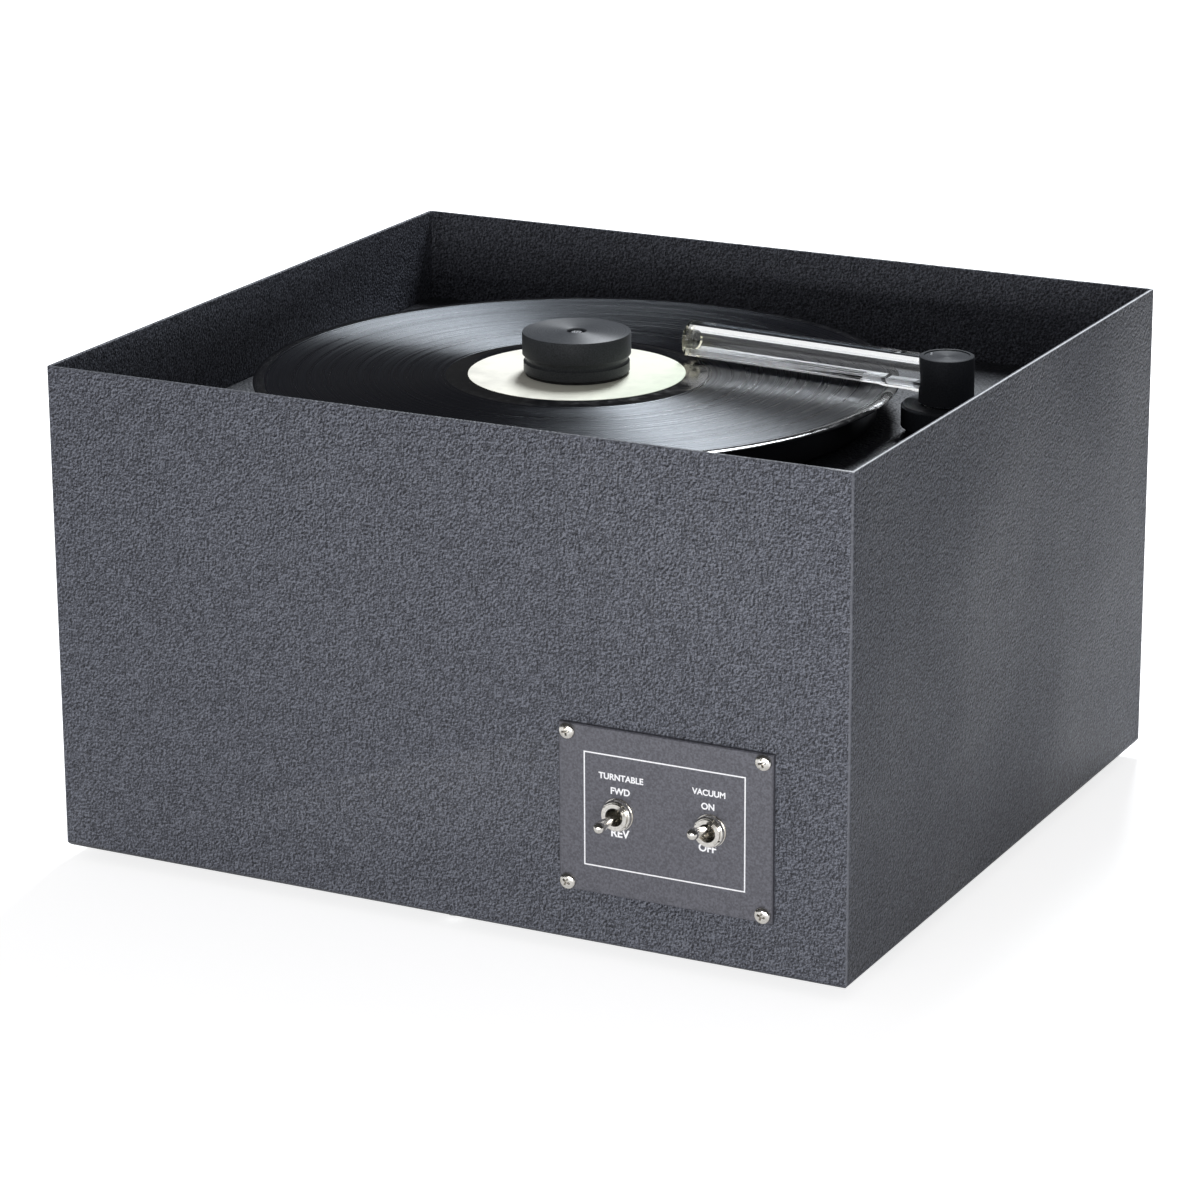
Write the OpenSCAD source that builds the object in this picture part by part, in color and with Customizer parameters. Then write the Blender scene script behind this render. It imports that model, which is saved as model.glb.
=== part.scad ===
// Record cleaning machine: a steel case with a turntable sunk in its top, a swivelling vacuum
// tube, two toggle switches, and the gearmotor, blower and tank that work them.
// Millimetres, +Z up. Z = 0 is the plane that the feet stand on, under the middle of the case.

/* [Case] */
// Width of the case, left to right
case_w = 394; // [385:1:430]
// Depth of the case, front to back
case_d = 354; // [348:1:400]
// Height of the case's walls
case_h = 229; // [222:1:260]
// Thickness of the case's sheet steel
wall = 2; // [1.2:0.1:2.5]
// Outer radius of the folded bottom edges
bottom_r = 4; // [2.5:0.5:6]
// Outer radius of the upright edges
edge_r = 1.6; // [1:0.1:3]
// Width of the flange round the opening in the case's bottom
flange_w = 22; // [18:1:26]
// Thickness of the base plate
base_t = 1.5; // [1:0.1:2]
// Height of the rubber feet
foot_h = 4.5; // [4:0.5:6]
// Radius of the rubber feet
foot_r = 12.5; // [10:0.5:15]
// Distance of each foot's axis from the case's sides
foot_inset = 42; // [38:1:60]

/* [Deck] */
// Depth of the deck below the case's rim
recess_depth = 45; // [44:1:50]
// Thickness of the deck plate
deck_t = 3; // [2:0.5:4]
// Width of the welded ledges that carry the deck
ledge_w = 14; // [10:1:18]
// Gap between the deck plate's edge and the case
deck_gap = 0.4; // [0.2:0.1:1]

/* [Platter and record] */
// Place of the spindle, left or right of the middle
spindle_x = -24; // [-30:1:-20]
// Place of the spindle, behind the middle
spindle_y = 5; // [0:1:8]
// Radius of the platter
platter_r = 140; // [120:1:148]
// Thickness of the platter
platter_t = 13.9; // [12:0.1:16]
// Running gap between the deck and the platter
platter_gap = 1.5; // [1:0.1:3]
// Thickness of the cork mat on the platter
mat_t = 1.5; // [1:0.1:3]
// Radius of the record
record_r = 150.8; // [148:0.1:151]
// Thickness of the record at its rim and label
record_t = 2; // [1.8:0.1:3]
// Depth of the grooved band below the rim and the label
groove_drop = 0.25; // [0.1:0.05:0.4]
// Radius of the record's paper label
label_r = 50.8; // [45:0.1:52]
// Thickness of the paper label
label_t = 0.2; // [0.1:0.05:0.4]
// Radius of the hole in the record
record_hole_r = 3.65; // [3.6:0.01:3.8]

/* [Clamp and spindle] */
// Radius of the clamp knob
clamp_r = 25.4; // [22:0.1:30]
// Height of the clamp above the label, with its foot washer
clamp_h = 20; // [18:0.5:26]
// Thickness of the clamp's rubber foot washer
washer_t = 1.2; // [0.8:0.1:2]
// Height of the knob's lower ring, up to the middle of the groove
clamp_groove_z = 7.4; // [6:0.1:9]
// Depth of the knob's groove
clamp_groove_d = 1.5; // [1:0.1:2]
// Radius of the spindle's threaded top
thread_r = 3.175; // [3:0.005:3.4]
// Radius of the spindle hub's flange
hub_r = 30; // [24:1:40]
// Thickness of the spindle hub's flange
hub_t = 5; // [4:0.5:6]

/* [Vacuum tube] */
// Radius of the clear tube
tube_r = 9; // [8:0.1:10]
// Thickness of the tube's wall
tube_wall = 2.2; // [1.5:0.1:2.4]
// Distance from the swivel axis to the tube's tip
tube_reach = 136; // [125:0.1:142]
// Direction in which the tube points at rest, from +X
tube_angle = 175; // [170:1:178]
// Depth of the flat milled along the tube's underside
flat_depth = 2.6; // [2.4:0.1:3]
// Distance from the swivel axis to the start of the flat
flat_start = 30; // [28:1:40]
// Depth of the relief that clears the record's edge, nearer the post
relief_depth = 1.7; // [1.6:0.1:2.2]
// Width of the suction slot in the flat
slot_w = 2.4; // [1.5:0.1:3]
// Length of the suction slot
slot_l = 88; // [70:1:90]
// Thickness of the velvet lips beside the slot
lip_t = 0.8; // [0.5:0.1:1.2]
// Gap between the lips and the record at rest
lip_gap = 1.3; // [1.2:0.1:3]
// Radius of the swivel post
post_r = 12.7; // [12.4:0.1:14]
// Height of the post above the tube's axis
post_over_tube = 10; // [9.5:0.1:14]
// Height of the tube's axis above the collar
tube_over_collar = 12.7; // [12:0.1:16]
// Radius of the post's shank, which turns in the collar
shank_r = 9; // [8:0.1:9.2]
// Radius of the collar
collar_r = 20.7; // [20:0.1:24]
// Thickness of the sponge rubber gasket under the collar
gasket_t = 4.5; // [3:0.5:5]
// Gap between the collar and the record's edge
record_gap = 2.9; // [1.5:0.1:6]
// Direction from the spindle to the swivel post, from +X
post_angle = 12.9; // [10:0.1:15]
// Travel by which suction pulls the tube down
float_travel = 1; // [0.5:0.1:1.1]
// Radius of the float spring's wire
spring_wire_r = 0.4; // [0.3:0.05:0.5]
// Turns of the float spring
spring_turns = 4; // [3:1:5]

/* [Control plate and switches] */
// Width of the control plate
plate_w = 101.6; // [98:0.1:110]
// Height of the control plate
plate_h = 76.2; // [74:0.1:85]
// Thickness of the control plate
plate_t = 2.5; // [2:0.1:4]
// Place of the plate's middle, right of the case's middle
plate_x = 112; // [100:1:118]
// Height of the plate's middle above the case's bottom
plate_z = 63.5; // [55:0.5:70]
// Distance between the plate's screws, side to side
screw_dx = 93; // [91:0.5:95]
// Distance between the plate's screws, up and down
screw_dz = 69; // [67:0.5:71]
// Distance between the two switches
switch_dx = 44; // [40:1:50]
// Radius of a switch's threaded bushing
bushing_r = 5.95; // [5.8:0.01:6.1]
// Radius of a switch's round nut
nut_r = 7.3; // [7:0.1:8.5]
// Length of a lever in front of its pivot
lever_l = 25; // [22:0.5:28]
// Radius of a lever's round tip
lever_tip_r = 2.7; // [2.4:0.1:3]
// Swing of a lever to each side of the middle
lever_swing = 11; // [8:1:13]

/* [Gearmotor] */
// Teeth of each pinion
pinion_teeth = 12; // [12:1:14]
// Teeth of each wheel
wheel_teeth = 48; // [40:2:52]
// Module of the first pair of gears
module_1 = 0.8; // [0.7:0.05:0.8]
// Module of the second pair of gears
module_2 = 1; // [0.9:0.05:1]
// Backlash on each tooth
backlash = 0.14; // [0.1:0.02:0.3]
// Width of the gears' teeth
gear_face = 6; // [5:0.5:7]
// Radius of the motor's can
can_r = 29; // [26:0.5:30]
// Height of the motor's can
can_h = 34; // [28:1:40]
// Length of the pillars that hang the gearbox under the deck
standoff_l = 14; // [12:1:18]
// Thickness of the gearbox plates
gear_plate_t = 2.5; // [2:0.1:3]
// Radius of the output shaft
output_r = 4; // [3:0.1:5]

/* [Blower] */
// Place of the blower's axis, left or right of the middle
blower_x = -112; // [-114:1:-108]
// Place of the blower's axis, behind the middle
blower_y = -72; // [-74:1:-66]
// Radius of the fan housing
fan_r = 70; // [66:1:71]
// Height of the fan housing
fan_h = 40; // [38:1:42]
// Thickness of the fan housing's sheet
fan_wall = 1.5; // [1:0.1:2]
// Length of the fan's inlet spigot, with its flange
blower_inlet_l = 20; // [16:0.5:24]
// Thickness of the rubber mount under the blower
mount_t = 8; // [6:1:10]
// Blades of the impeller
blade_count = 8; // [6:1:10]
// Radius of the impeller
impeller_r = 61; // [55:1:63]

/* [Tank and hoses] */
// Width of the collection tank
tank_w = 118; // [116:1:120]
// Depth of the collection tank
tank_d = 126; // [124:1:130]
// Height of the collection tank
tank_h = 89; // [78:1:93]
// Thickness of the tank's walls
tank_wall = 3; // [2:0.1:4]
// Outer radius of the hoses
hose_r = 16.5; // [16:0.1:17]
// Inner radius of the hoses
hose_bore_r = 13.8; // [13:0.1:14]
// Length of each spigot inside its hose
spigot_l = 18; // [14:1:22]
// Radius of the hoses' bends, along their middle
hose_bend = 24; // [20:1:26]

/* [Back fittings] */
// Place of the mains inlet, left or right of the middle
inlet_x = -140; // [-150:1:-120]
// Height of the mains inlet's middle above the case's bottom
inlet_z = 58; // [50:1:75]
// Radius of the drain valve's hose tail
drain_r = 4.75; // [4:0.05:6]
// Length of the drain valve's hose tail
drain_l = 9.5; // [8:0.5:22]
// Height of the drain above the case's bottom
drain_z = 16; // [14:0.5:20]

/* [Fits] */
// Radial gap of a shaft that turns in its bore
run_gap = 0.05; // [0.03:0.01:0.08]
// Radial gap round a screw or a part that is pushed in
fit_gap = 0.1; // [0.05:0.01:0.2]

/* [Hidden] */
$fn = 96;
cut = 1;

// Heights, from the floor up
z_case = foot_h + base_t;
z_floor = z_case + wall;
z_rim = z_case + case_h;
z_deck = z_rim - recess_depth;
z_under = z_deck - deck_t;
z_platter = z_deck + platter_gap;
z_mat = z_platter + platter_t;
z_record = z_mat + mat_t;
z_label = z_record + record_t;
z_washer = z_label + label_t;
z_knob = z_washer + washer_t;
z_knob_top = z_washer + clamp_h;
z_tube = z_label + lip_gap + lip_t + tube_r - flat_depth;
z_collar_top = z_tube - tube_over_collar;
z_collar = z_deck + gasket_t;

// Colours
charcoal = "#35353a";
black = "#1b1b1d";
steel = "#b8bcc2";
zinc = "#c9cbcd";
brass = "#b08d4a";
rubber = "#262626";
smoke = "#55595f";

// Metric screw sizes: shank, head and head height
m4_r = 1.95;
m4_head_r = 3.7;
m4_head_h = 2.3;
m3_r = 1.45;
m3_head_r = 2.8;
m3_head_h = 1.8;

// Place of the swivel post to a tenth of a millimetre, and of the front and back faces
post_away = record_r + record_gap + collar_r;
post_x = spindle_x + round(10 * post_away * cos(post_angle)) / 10;
post_y = spindle_y + round(10 * post_away * sin(post_angle)) / 10;
front_y = -case_d / 2;
back_y = case_d / 2;

// A round bar with a hole through it
module ring(r_out, r_in, h) {
    difference() {
        cylinder(h = h, r = r_out);
        translate([0, 0, -cut]) cylinder(h = h + 2 * cut, r = r_in);
    }
}

// A rectangle with round corners, centred
module round_rect(w, d, r) {
    square([w - 2 * r, d], center = true);
    square([w, d - 2 * r], center = true);
    for (x = [-1, 1], y = [-1, 1])
        translate([x * (w / 2 - r), y * (d / 2 - r)]) circle(r);
}

// A slot with round ends, centred
module slot_shape(l, w) {
    square([l - w, w], center = true);
    for (x = [-1, 1]) translate([x * (l - w) / 2, 0]) circle(w / 2);
}

// A pan head screw on the XY plane, its head up and its shank down
module pan_screw(shank_r, head_r, head_h, l) {
    cross_w = head_r * 0.3;
    difference() {
        union() {
            cylinder(h = head_h * 0.55, r = head_r, $fn = 48);
            translate([0, 0, head_h * 0.55])
                cylinder(h = head_h * 0.45, r1 = head_r, r2 = head_r * 0.62, $fn = 48);
        }
        for (a = [0, 90]) rotate(a)
            translate([-head_r * 0.6, -cross_w / 2, head_h * 0.5]) cube([head_r * 1.2, cross_w, head_h]);
    }
    translate([0, 0, -l]) cylinder(h = l + head_h * 0.2, r = shank_r, $fn = 32);
}

// A countersunk screw, its flat head's top on the XY plane and its shank down
module flat_screw(shank_r, head_r, l) {
    difference() {
        union() {
            translate([0, 0, shank_r - head_r]) cylinder(h = head_r - shank_r, r1 = shank_r, r2 = head_r, $fn = 48);
            translate([0, 0, -l]) cylinder(h = l - head_r + shank_r + 0.2, r = shank_r, $fn = 32);
        }
        for (a = [0, 90]) rotate(a) cube([head_r * 1.2, head_r * 0.25, 2], center = true);
    }
}

// A block whose four upright edges and four bottom edges are round
module folded_box(w, d, h, r_up, r_low) {
    intersection() {
        linear_extrude(h) round_rect(w, d, r_up);
        translate([0, d / 2, 0]) rotate([90, 0, 0]) linear_extrude(d) folded_side(w, h, r_low);
        translate([-w / 2, 0, 0]) rotate([90, 0, 90]) linear_extrude(w) folded_side(d, h, r_low);
    }
}

// A wall's side view: a rectangle on y = 0 with its two lower corners round
module folded_side(w, h, r) {
    translate([-w / 2, r]) square([w, h - r]);
    translate([-w / 2 + r, 0]) square([w - 2 * r, 2 * r]);
    for (x = [-1, 1]) translate([x * (w / 2 - r), r]) circle(r);
}

// Unit vector from a to b
function unit(a, b) = (b - a) / norm(b - a);

// Matrix that turns +Z onto d and moves to p
function aim(p, d) = let (
    u = abs(d.z) < 0.9 ? cross([0, 0, 1], d) : [1, 0, 0],
    x = u / norm(u),
    y = cross(d, x)
) [[x.x, y.x, d.x, p.x], [x.y, y.y, d.y, p.y], [x.z, y.z, d.z, p.z], [0, 0, 0, 1]];

// A round bar along points that turn by right angles, with bends of one radius
module bent_bar(points, r, bend) {
    last = len(points) - 1;
    for (i = [0 : last - 1]) {
        d = unit(points[i], points[i + 1]);
        from = i == 0 ? 0 : bend;
        to = norm(points[i + 1] - points[i]) - (i == last - 1 ? 0 : bend);
        multmatrix(aim(points[i] + d * from, d)) cylinder(h = to - from, r = r);
    }
    for (i = [1 : last - 1]) {
        d1 = unit(points[i - 1], points[i]);
        d2 = unit(points[i], points[i + 1]);
        c = points[i] - d1 * bend + d2 * bend;
        z = cross(-d2, d1);
        multmatrix([[-d2.x, d1.x, z.x, c.x], [-d2.y, d1.y, z.y, c.y], [-d2.z, d1.z, z.z, c.z], [0, 0, 0, 1]])
            rotate_extrude(angle = 90) translate([bend, 0]) circle(r);
    }
}

// Case: one folded and welded shell with a flange below and ledges for the deck
ledge_t = 2;
base_screw_l = base_t + wall + 0.5;
base_screw_x = case_w / 2 - flange_w / 2 - wall;
base_screw_y = case_d / 2 - flange_w / 2 - wall;
base_screw_places = [for (x = [-1, 1], y = [-1, 0, 1]) [x * base_screw_x, y * base_screw_y * 0.85],
                     for (y = [-1, 1]) [0, y * base_screw_y]];
window_w = switch_dx + 34;
window_h = 44;
vent_count = 7;
vent_l = 60;
vent_w = 4;
vent_pitch = 9;
vent_x = -20;
vent_z = z_case + 55;
deck_screw_places = [for (x = [-1, 1], y = [-1, 0, 1])
    [x * (case_w / 2 - wall - ledge_w / 2), y * (case_d / 2 - wall - ledge_w) * 0.8]];

module case_shell() {
    color(charcoal) {
        difference() {
            translate([0, 0, z_case]) folded_box(case_w, case_d, case_h, edge_r, bottom_r);
            translate([0, 0, z_floor]) folded_box(case_w - 2 * wall, case_d - 2 * wall, case_h,
                                                  max(edge_r - wall, 0.3), max(bottom_r - wall, 0.3));
            translate([0, 0, z_case - cut]) linear_extrude(wall + 2 * cut)
                round_rect(case_w - 2 * (wall + flange_w), case_d - 2 * (wall + flange_w), 6);
            // Window behind the control plate, and the plate's screw holes
            translate([plate_x, front_y, z_case + plate_z]) rotate([90, 0, 0]) {
                linear_extrude(4 * wall, center = true) round_rect(window_w, window_h, 3);
                for (x = [-1, 1], z = [-1, 1]) translate([x * screw_dx / 2, z * screw_dz / 2, -2 * wall])
                    cylinder(h = 4 * wall, r = m3_r + fit_gap);
            }
            // Cut-out of the mains inlet and its screw holes
            translate([inlet_x, back_y, z_case + inlet_z]) rotate([90, 0, 0]) {
                linear_extrude(4 * wall, center = true)
                    square([inlet_body_w + 0.6, inlet_body_h + 0.6], center = true);
                for (x = [-1, 1]) translate([x * inlet_screw_dx / 2, 0, -2 * wall])
                    cylinder(h = 4 * wall, r = m3_r + fit_gap);
            }
            // Hole of the drain and the exhaust slots
            translate([tank_x, back_y, z_case + drain_z]) rotate([90, 0, 0])
                cylinder(h = 4 * wall, r = drain_pipe_r + 0.3, center = true);
            for (i = [0 : vent_count - 1]) translate([vent_x, back_y, vent_z + i * vent_pitch])
                rotate([90, 0, 0]) linear_extrude(4 * wall, center = true) slot_shape(vent_l, vent_w);
            for (p = base_screw_places) translate([p.x, p.y, z_case - cut])
                cylinder(h = wall + 2 * cut, r = m4_r + fit_gap, $fn = 32);
        }
        // Ledges along the two sides
        difference() {
            for (x = [-1, 1]) translate([x * (case_w / 2 - wall / 2 - ledge_w / 2), 0, z_under - ledge_t / 2])
                cube([ledge_w + wall, case_d - 2 * wall - 40, ledge_t], center = true);
            for (p = deck_screw_places) translate([p.x, p.y, z_under - ledge_t - cut])
                cylinder(h = ledge_t + 2 * cut, r = m3_r + fit_gap, $fn = 32);
            // Room for the collar's nut, where the case is narrow
            translate([post_x, post_y, z_under - ledge_t - cut])
                cylinder(h = ledge_t + 2 * cut, r = collar_nut_r + 1);
        }
    }
}

// Base plate, closing the case's bottom from below, with air slots under the blower
base_inset = 9;
air_slots = 5;

module base_plate() {
    color(charcoal) difference() {
        translate([0, 0, foot_h]) linear_extrude(base_t)
            round_rect(case_w - 2 * base_inset, case_d - 2 * base_inset, 5);
        for (p = concat(base_screw_places, foot_places)) translate([p.x, p.y, foot_h - cut])
            cylinder(h = base_t + 2 * cut, r = m4_r + fit_gap, $fn = 32);
        for (i = [0 : air_slots - 1])
            translate([blower_x + 52 + i * vent_pitch, blower_y, foot_h - cut])
                linear_extrude(base_t + 2 * cut) rotate(90) slot_shape(vent_l, vent_w);
    }
}

// Screws from below: eight through the base plate into the flange, four through the feet
foot_places = [for (x = [-1, 1], y = [-1, 1])
    [x * (case_w / 2 - foot_inset), y * (case_d / 2 - foot_inset)]];
foot_screw_z = 2.6;

module base_screws() {
    color(zinc) {
        for (p = base_screw_places) translate([p.x, p.y, foot_h]) rotate([180, 0, 0])
            pan_screw(m4_r, m4_head_r, m4_head_h, base_screw_l);
        for (p = foot_places) translate([p.x, p.y, foot_screw_z]) rotate([180, 0, 0])
            pan_screw(m4_r, m4_head_r, m4_head_h, z_case - foot_screw_z - 0.1);
    }
}

// Feet: turned rubber bumpers with a sunk screw
module feet() {
    sink_r = m4_head_r + 0.6;
    color(rubber) for (p = foot_places) translate([p.x, p.y, 0])
        rotate_extrude() polygon([
            [sink_r, 0], [foot_r - 1.6, 0], [foot_r - 0.9, 0.5], [foot_r, foot_h],
            [m4_r + fit_gap, foot_h], [m4_r + fit_gap, foot_screw_z], [sink_r, foot_screw_z]]);
}

// Deck plate, resting on the ledges
module deck_plate() {
    shank_hole_r = collar_thread_r + 0.3;
    hub_hole_r = hub_boss_r + 1.5;
    color(charcoal) difference() {
        translate([0, 0, z_under]) linear_extrude(deck_t)
            square([case_w - 2 * wall - 2 * deck_gap, case_d - 2 * wall - 2 * deck_gap], center = true);
        translate([spindle_x, spindle_y, z_under - cut]) cylinder(h = deck_t + 2 * cut, r = hub_hole_r);
        translate([post_x, post_y, z_under - cut]) cylinder(h = deck_t + 2 * cut, r = shank_hole_r);
        for (p = pillar_places) translate([p.x, p.y, z_deck]) {
            translate([0, 0, -deck_t - cut]) cylinder(h = deck_t + 2 * cut, r = m4_r + fit_gap, $fn = 32);
            translate([0, 0, m4_r - m4_head_r]) cylinder(h = m4_head_r - m4_r + 0.2,
                r1 = m4_r + fit_gap, r2 = m4_head_r + fit_gap + 0.2, $fn = 48);
        }
        for (p = deck_screw_places) translate([p.x, p.y, z_under - cut])
            cylinder(h = deck_t - 0.6 + cut, r = m3_r + fit_gap, $fn = 32);
    }
}

// Deck screws, from below through the ledges
module deck_screws() {
    color(zinc) for (p = deck_screw_places) translate([p.x, p.y, z_under - ledge_t]) rotate([180, 0, 0])
        pan_screw(m3_r, m3_head_r, m3_head_h, ledge_t + deck_t - 1);
}

// A plate on the XY plane with the edges of its top face chamfered
module bevel_plate(w, d, t, c) {
    intersection() {
        translate([0, d / 2, 0]) rotate([90, 0, 0]) linear_extrude(d) bevel_side(w, t, c);
        translate([-w / 2, 0, 0]) rotate([90, 0, 90]) linear_extrude(w) bevel_side(d, t, c);
    }
}

// The plate's side view
module bevel_side(w, t, c) {
    polygon([[-w / 2, 0], [w / 2, 0], [w / 2, t - c], [w / 2 - c, t], [-w / 2 + c, t], [-w / 2, t - c]]);
}

// Control plate on the front, its face chamfered round the edge
plate_bevel = 0.5;
module control_plate() {
    color(black) translate([plate_x, front_y, z_case + plate_z]) rotate([90, 0, 0]) difference() {
        bevel_plate(plate_w, plate_h, plate_t, plate_bevel);
        for (x = [-1, 1], z = [-1, 1]) translate([x * screw_dx / 2, z * screw_dz / 2, -cut])
            cylinder(h = plate_t + 2 * cut, r = m3_r + fit_gap);
        for (x = [-1, 1]) translate([x * switch_dx / 2, 0, -cut])
            cylinder(h = plate_t + 2 * cut, r = bushing_r + fit_gap);
    }
}

// The plate's four screws
plate_head_r = 3.8;
plate_head_h = 2.2;
module plate_screws() {
    color(steel) translate([plate_x, front_y - plate_t, z_case + plate_z]) rotate([90, 0, 0])
        for (x = [-1, 1], z = [-1, 1]) translate([x * screw_dx / 2, z * screw_dz / 2, 0])
            rotate(17 * x + 40 * z) pan_screw(m3_r, plate_head_r, plate_head_h, plate_t + wall + 3);
}

// Two toggle switches behind the plate: case, threaded bushing and solder lugs
switch_w = 17;
switch_h = 30;
switch_l = 24;
bushing_out = 4.6;
inner_nut_t = 2;
pivot_in = 1.5;
ball_r = 3;
mouth_r = 4.2;
pivot_y = front_y + pivot_in;

lever_stub = 5.2;
lug_l = 6;
lug_dz = 9;
bracket_t = 1.2;
module toggle_switches() {
    // Depths are measured inwards from the plate's front face
    depth = plate_t + inner_nut_t;
    for (x = [-1, 1]) translate([plate_x + x * switch_dx / 2, front_y - plate_t, z_case + plate_z])
        rotate([90, 0, 0]) {
            color(smoke) difference() {
                translate([-switch_w / 2, -switch_h / 2, -depth - switch_l])
                    cube([switch_w, switch_h, switch_l - bracket_t]);
                lever_pocket();
            }
            color(steel) difference() {
                union() {
                    translate([-switch_w / 2, -switch_h / 2, -depth - bracket_t])
                        cube([switch_w, switch_h, bracket_t]);
                    translate([0, 0, -depth]) cylinder(h = depth + bushing_out, r = bushing_r);
                }
                lever_pocket();
            }
            color(brass) for (y = [-1, 0, 1]) translate([-2.4, y * lug_dz - 0.5, -depth - switch_l - lug_l])
                cube([4.8, 1, lug_l + 0.1]);
        }
}

// Room for the lever in its switch: a bore with a flared mouth
module lever_pocket() {
    deep = plate_t + pivot_in + lever_stub + 0.8;
    mouth_l = 2.2;
    translate([0, 0, -deep]) cylinder(h = deep + bushing_out, r = ball_r + 0.25);
    translate([0, 0, bushing_out - mouth_l]) cylinder(h = mouth_l + 0.1, r1 = ball_r + 0.25, r2 = mouth_r);
}

// Round dressed nuts and their washers on the bushings
nut_t = 3;
nut_washer_t = 0.8;
module switch_nuts() {
    flute_count = 4;
    color(steel) translate([plate_x, front_y - plate_t, z_case + plate_z]) rotate([90, 0, 0])
        for (x = [-1, 1]) translate([x * switch_dx / 2, 0, 0]) {
            ring(nut_r, bushing_r + fit_gap, nut_washer_t);
            translate([0, 0, nut_washer_t]) difference() {
                rotate_extrude() polygon([
                    [bushing_r + fit_gap, 0], [nut_r - 0.2, 0], [nut_r - 0.2, nut_t - 1.6],
                    [nut_r - 1.1, nut_t - 0.3], [bushing_r + 0.4, nut_t], [bushing_r + fit_gap, nut_t]]);
                for (i = [0 : flute_count - 1]) rotate(45 + i * 360 / flute_count)
                    translate([bushing_r - 0.6, -0.5, nut_t - 0.9]) cube([3, 1, 2]);
            }
        }
}

// A bat lever on its pivot ball, pointing to the front and tilted up by an angle
module bat_lever(tilt) {
    neck_r = 1.5;
    rotate([90 - tilt, 0, 0]) {
        sphere(ball_r - 0.35);
        // Pivot pin through the ball
        rotate([0, 90, 0]) cylinder(h = 2 * ball_r - 0.2, r = 0.8, center = true);
        translate([0, 0, -lever_stub]) cylinder(h = lever_stub, r = 1.2);
        cylinder(h = 9, r = neck_r);
        translate([0, 0, 9]) cylinder(h = lever_l - lever_tip_r - 9, r1 = neck_r, r2 = lever_tip_r * 0.97);
        translate([0, 0, lever_l - lever_tip_r]) sphere(lever_tip_r);
    }
}

// Turntable lever: forward, off in the middle, reverse
module turntable_lever() {
    color(steel) translate([plate_x - switch_dx / 2, pivot_y, z_case + plate_z]) bat_lever(0);
}

// Vacuum lever, shown up
module vacuum_lever() {
    color(steel) translate([plate_x + switch_dx / 2, pivot_y, z_case + plate_z]) bat_lever(lever_swing);
}

// Collar on the deck: a flanged bearing with a threaded stem and a hose tail below
collar_thread_r = 15.5;
collar_stem = 9;
tail_r = hose_bore_r - 0.2;
tail_bore_r = 11.6;
bearing_l = 9;
well_r = 11.8;
well_d = 6;
z_tail = z_under - collar_stem - spigot_l;

module swivel_collar() {
    bore = shank_r + run_gap;
    color(black) translate([post_x, post_y, 0]) rotate_extrude() polygon([
        [well_r, z_collar_top], [collar_r - 1, z_collar_top], [collar_r, z_collar_top - 1],
        [collar_r, z_collar], [collar_thread_r, z_collar], [collar_thread_r, z_under - collar_stem],
        [tail_r, z_under - collar_stem], [tail_r, z_tail], [tail_bore_r, z_tail],
        [tail_bore_r, z_collar_top - well_d - bearing_l], [bore, z_collar_top - well_d - bearing_l],
        [bore, z_collar_top - well_d], [well_r, z_collar_top - well_d]]);
}

// Sponge rubber gasket between the collar and the deck
module collar_gasket() {
    color(rubber) translate([post_x, post_y, z_deck])
        ring(collar_r - 2.2, collar_thread_r + 0.3, gasket_t);
}

// Ring nut that draws the collar down, below the deck
collar_nut_r = collar_thread_r + 6.5;
collar_nut_h = 5;
module collar_nut() {
    color(zinc) translate([post_x, post_y, z_under - collar_nut_h]) difference() {
        cylinder(h = collar_nut_h, r = collar_nut_r, $fn = 6);
        translate([0, 0, -cut]) cylinder(h = collar_nut_h + 2 * cut, r = collar_thread_r + fit_gap);
    }
}

// Float spring in the collar's well: one wire wound as a helix
float_gap = float_travel + 0.3;
washer_h = 0.8;
spring_r = (shank_r + well_r) / 2 + 0.05;
spring_low = z_collar_top - well_d + spring_wire_r + 0.05;
spring_high = z_collar_top + float_gap - washer_h - spring_wire_r - 0.05;
spring_steps = spring_turns * 12;
wire_sides = 6;

function spring_point(i) = let (a = i * 360 * spring_turns / spring_steps)
    [spring_r * cos(a), spring_r * sin(a), spring_low + (spring_high - spring_low) * i / spring_steps];
function spring_ring(i) = let (a = i * 360 * spring_turns / spring_steps)
    [for (k = [0 : wire_sides - 1]) let (b = k * 360 / wire_sides)
        spring_point(i) + spring_wire_r * [cos(b) * cos(a), cos(b) * sin(a), sin(b)]];
spring_gap = (spring_high - spring_low) / spring_turns - 2 * spring_wire_r;
echo("least gap between the float spring's turns", spring_gap);

module float_spring() {
    n = spring_steps;
    points = [for (i = [0 : n]) each spring_ring(i)];
    side = [for (i = [0 : n - 1], k = [0 : wire_sides - 1]) let (
        a = i * wire_sides + k, b = i * wire_sides + (k + 1) % wire_sides,
        c = a + wire_sides, d = b + wire_sides) each [[a, c, b], [b, c, d]]];
    ends = [[for (k = [0 : wire_sides - 1]) k], [for (k = [wire_sides - 1 : -1 : 0]) n * wire_sides + k]];
    color(steel) translate([post_x, post_y, 0]) polyhedron(points, concat(side, ends));
}

// Thrust washer between the spring and the post
module thrust_washer() {
    color(steel) translate([post_x, post_y, z_collar_top + float_gap - washer_h])
        ring(well_r - 0.2, shank_r + 0.15, washer_h);
}

// Swivel post: head with the tube's socket, and the hollow shank in the collar
socket_gap = 0.1;
air_r = 6.4;
side_air_r = 5.4;
shank_low = z_collar_top - well_d - bearing_l - 6;
ring_t = 1.2;
cap_sink = 0.5;
tube_start = air_r + 0.5;

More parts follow.
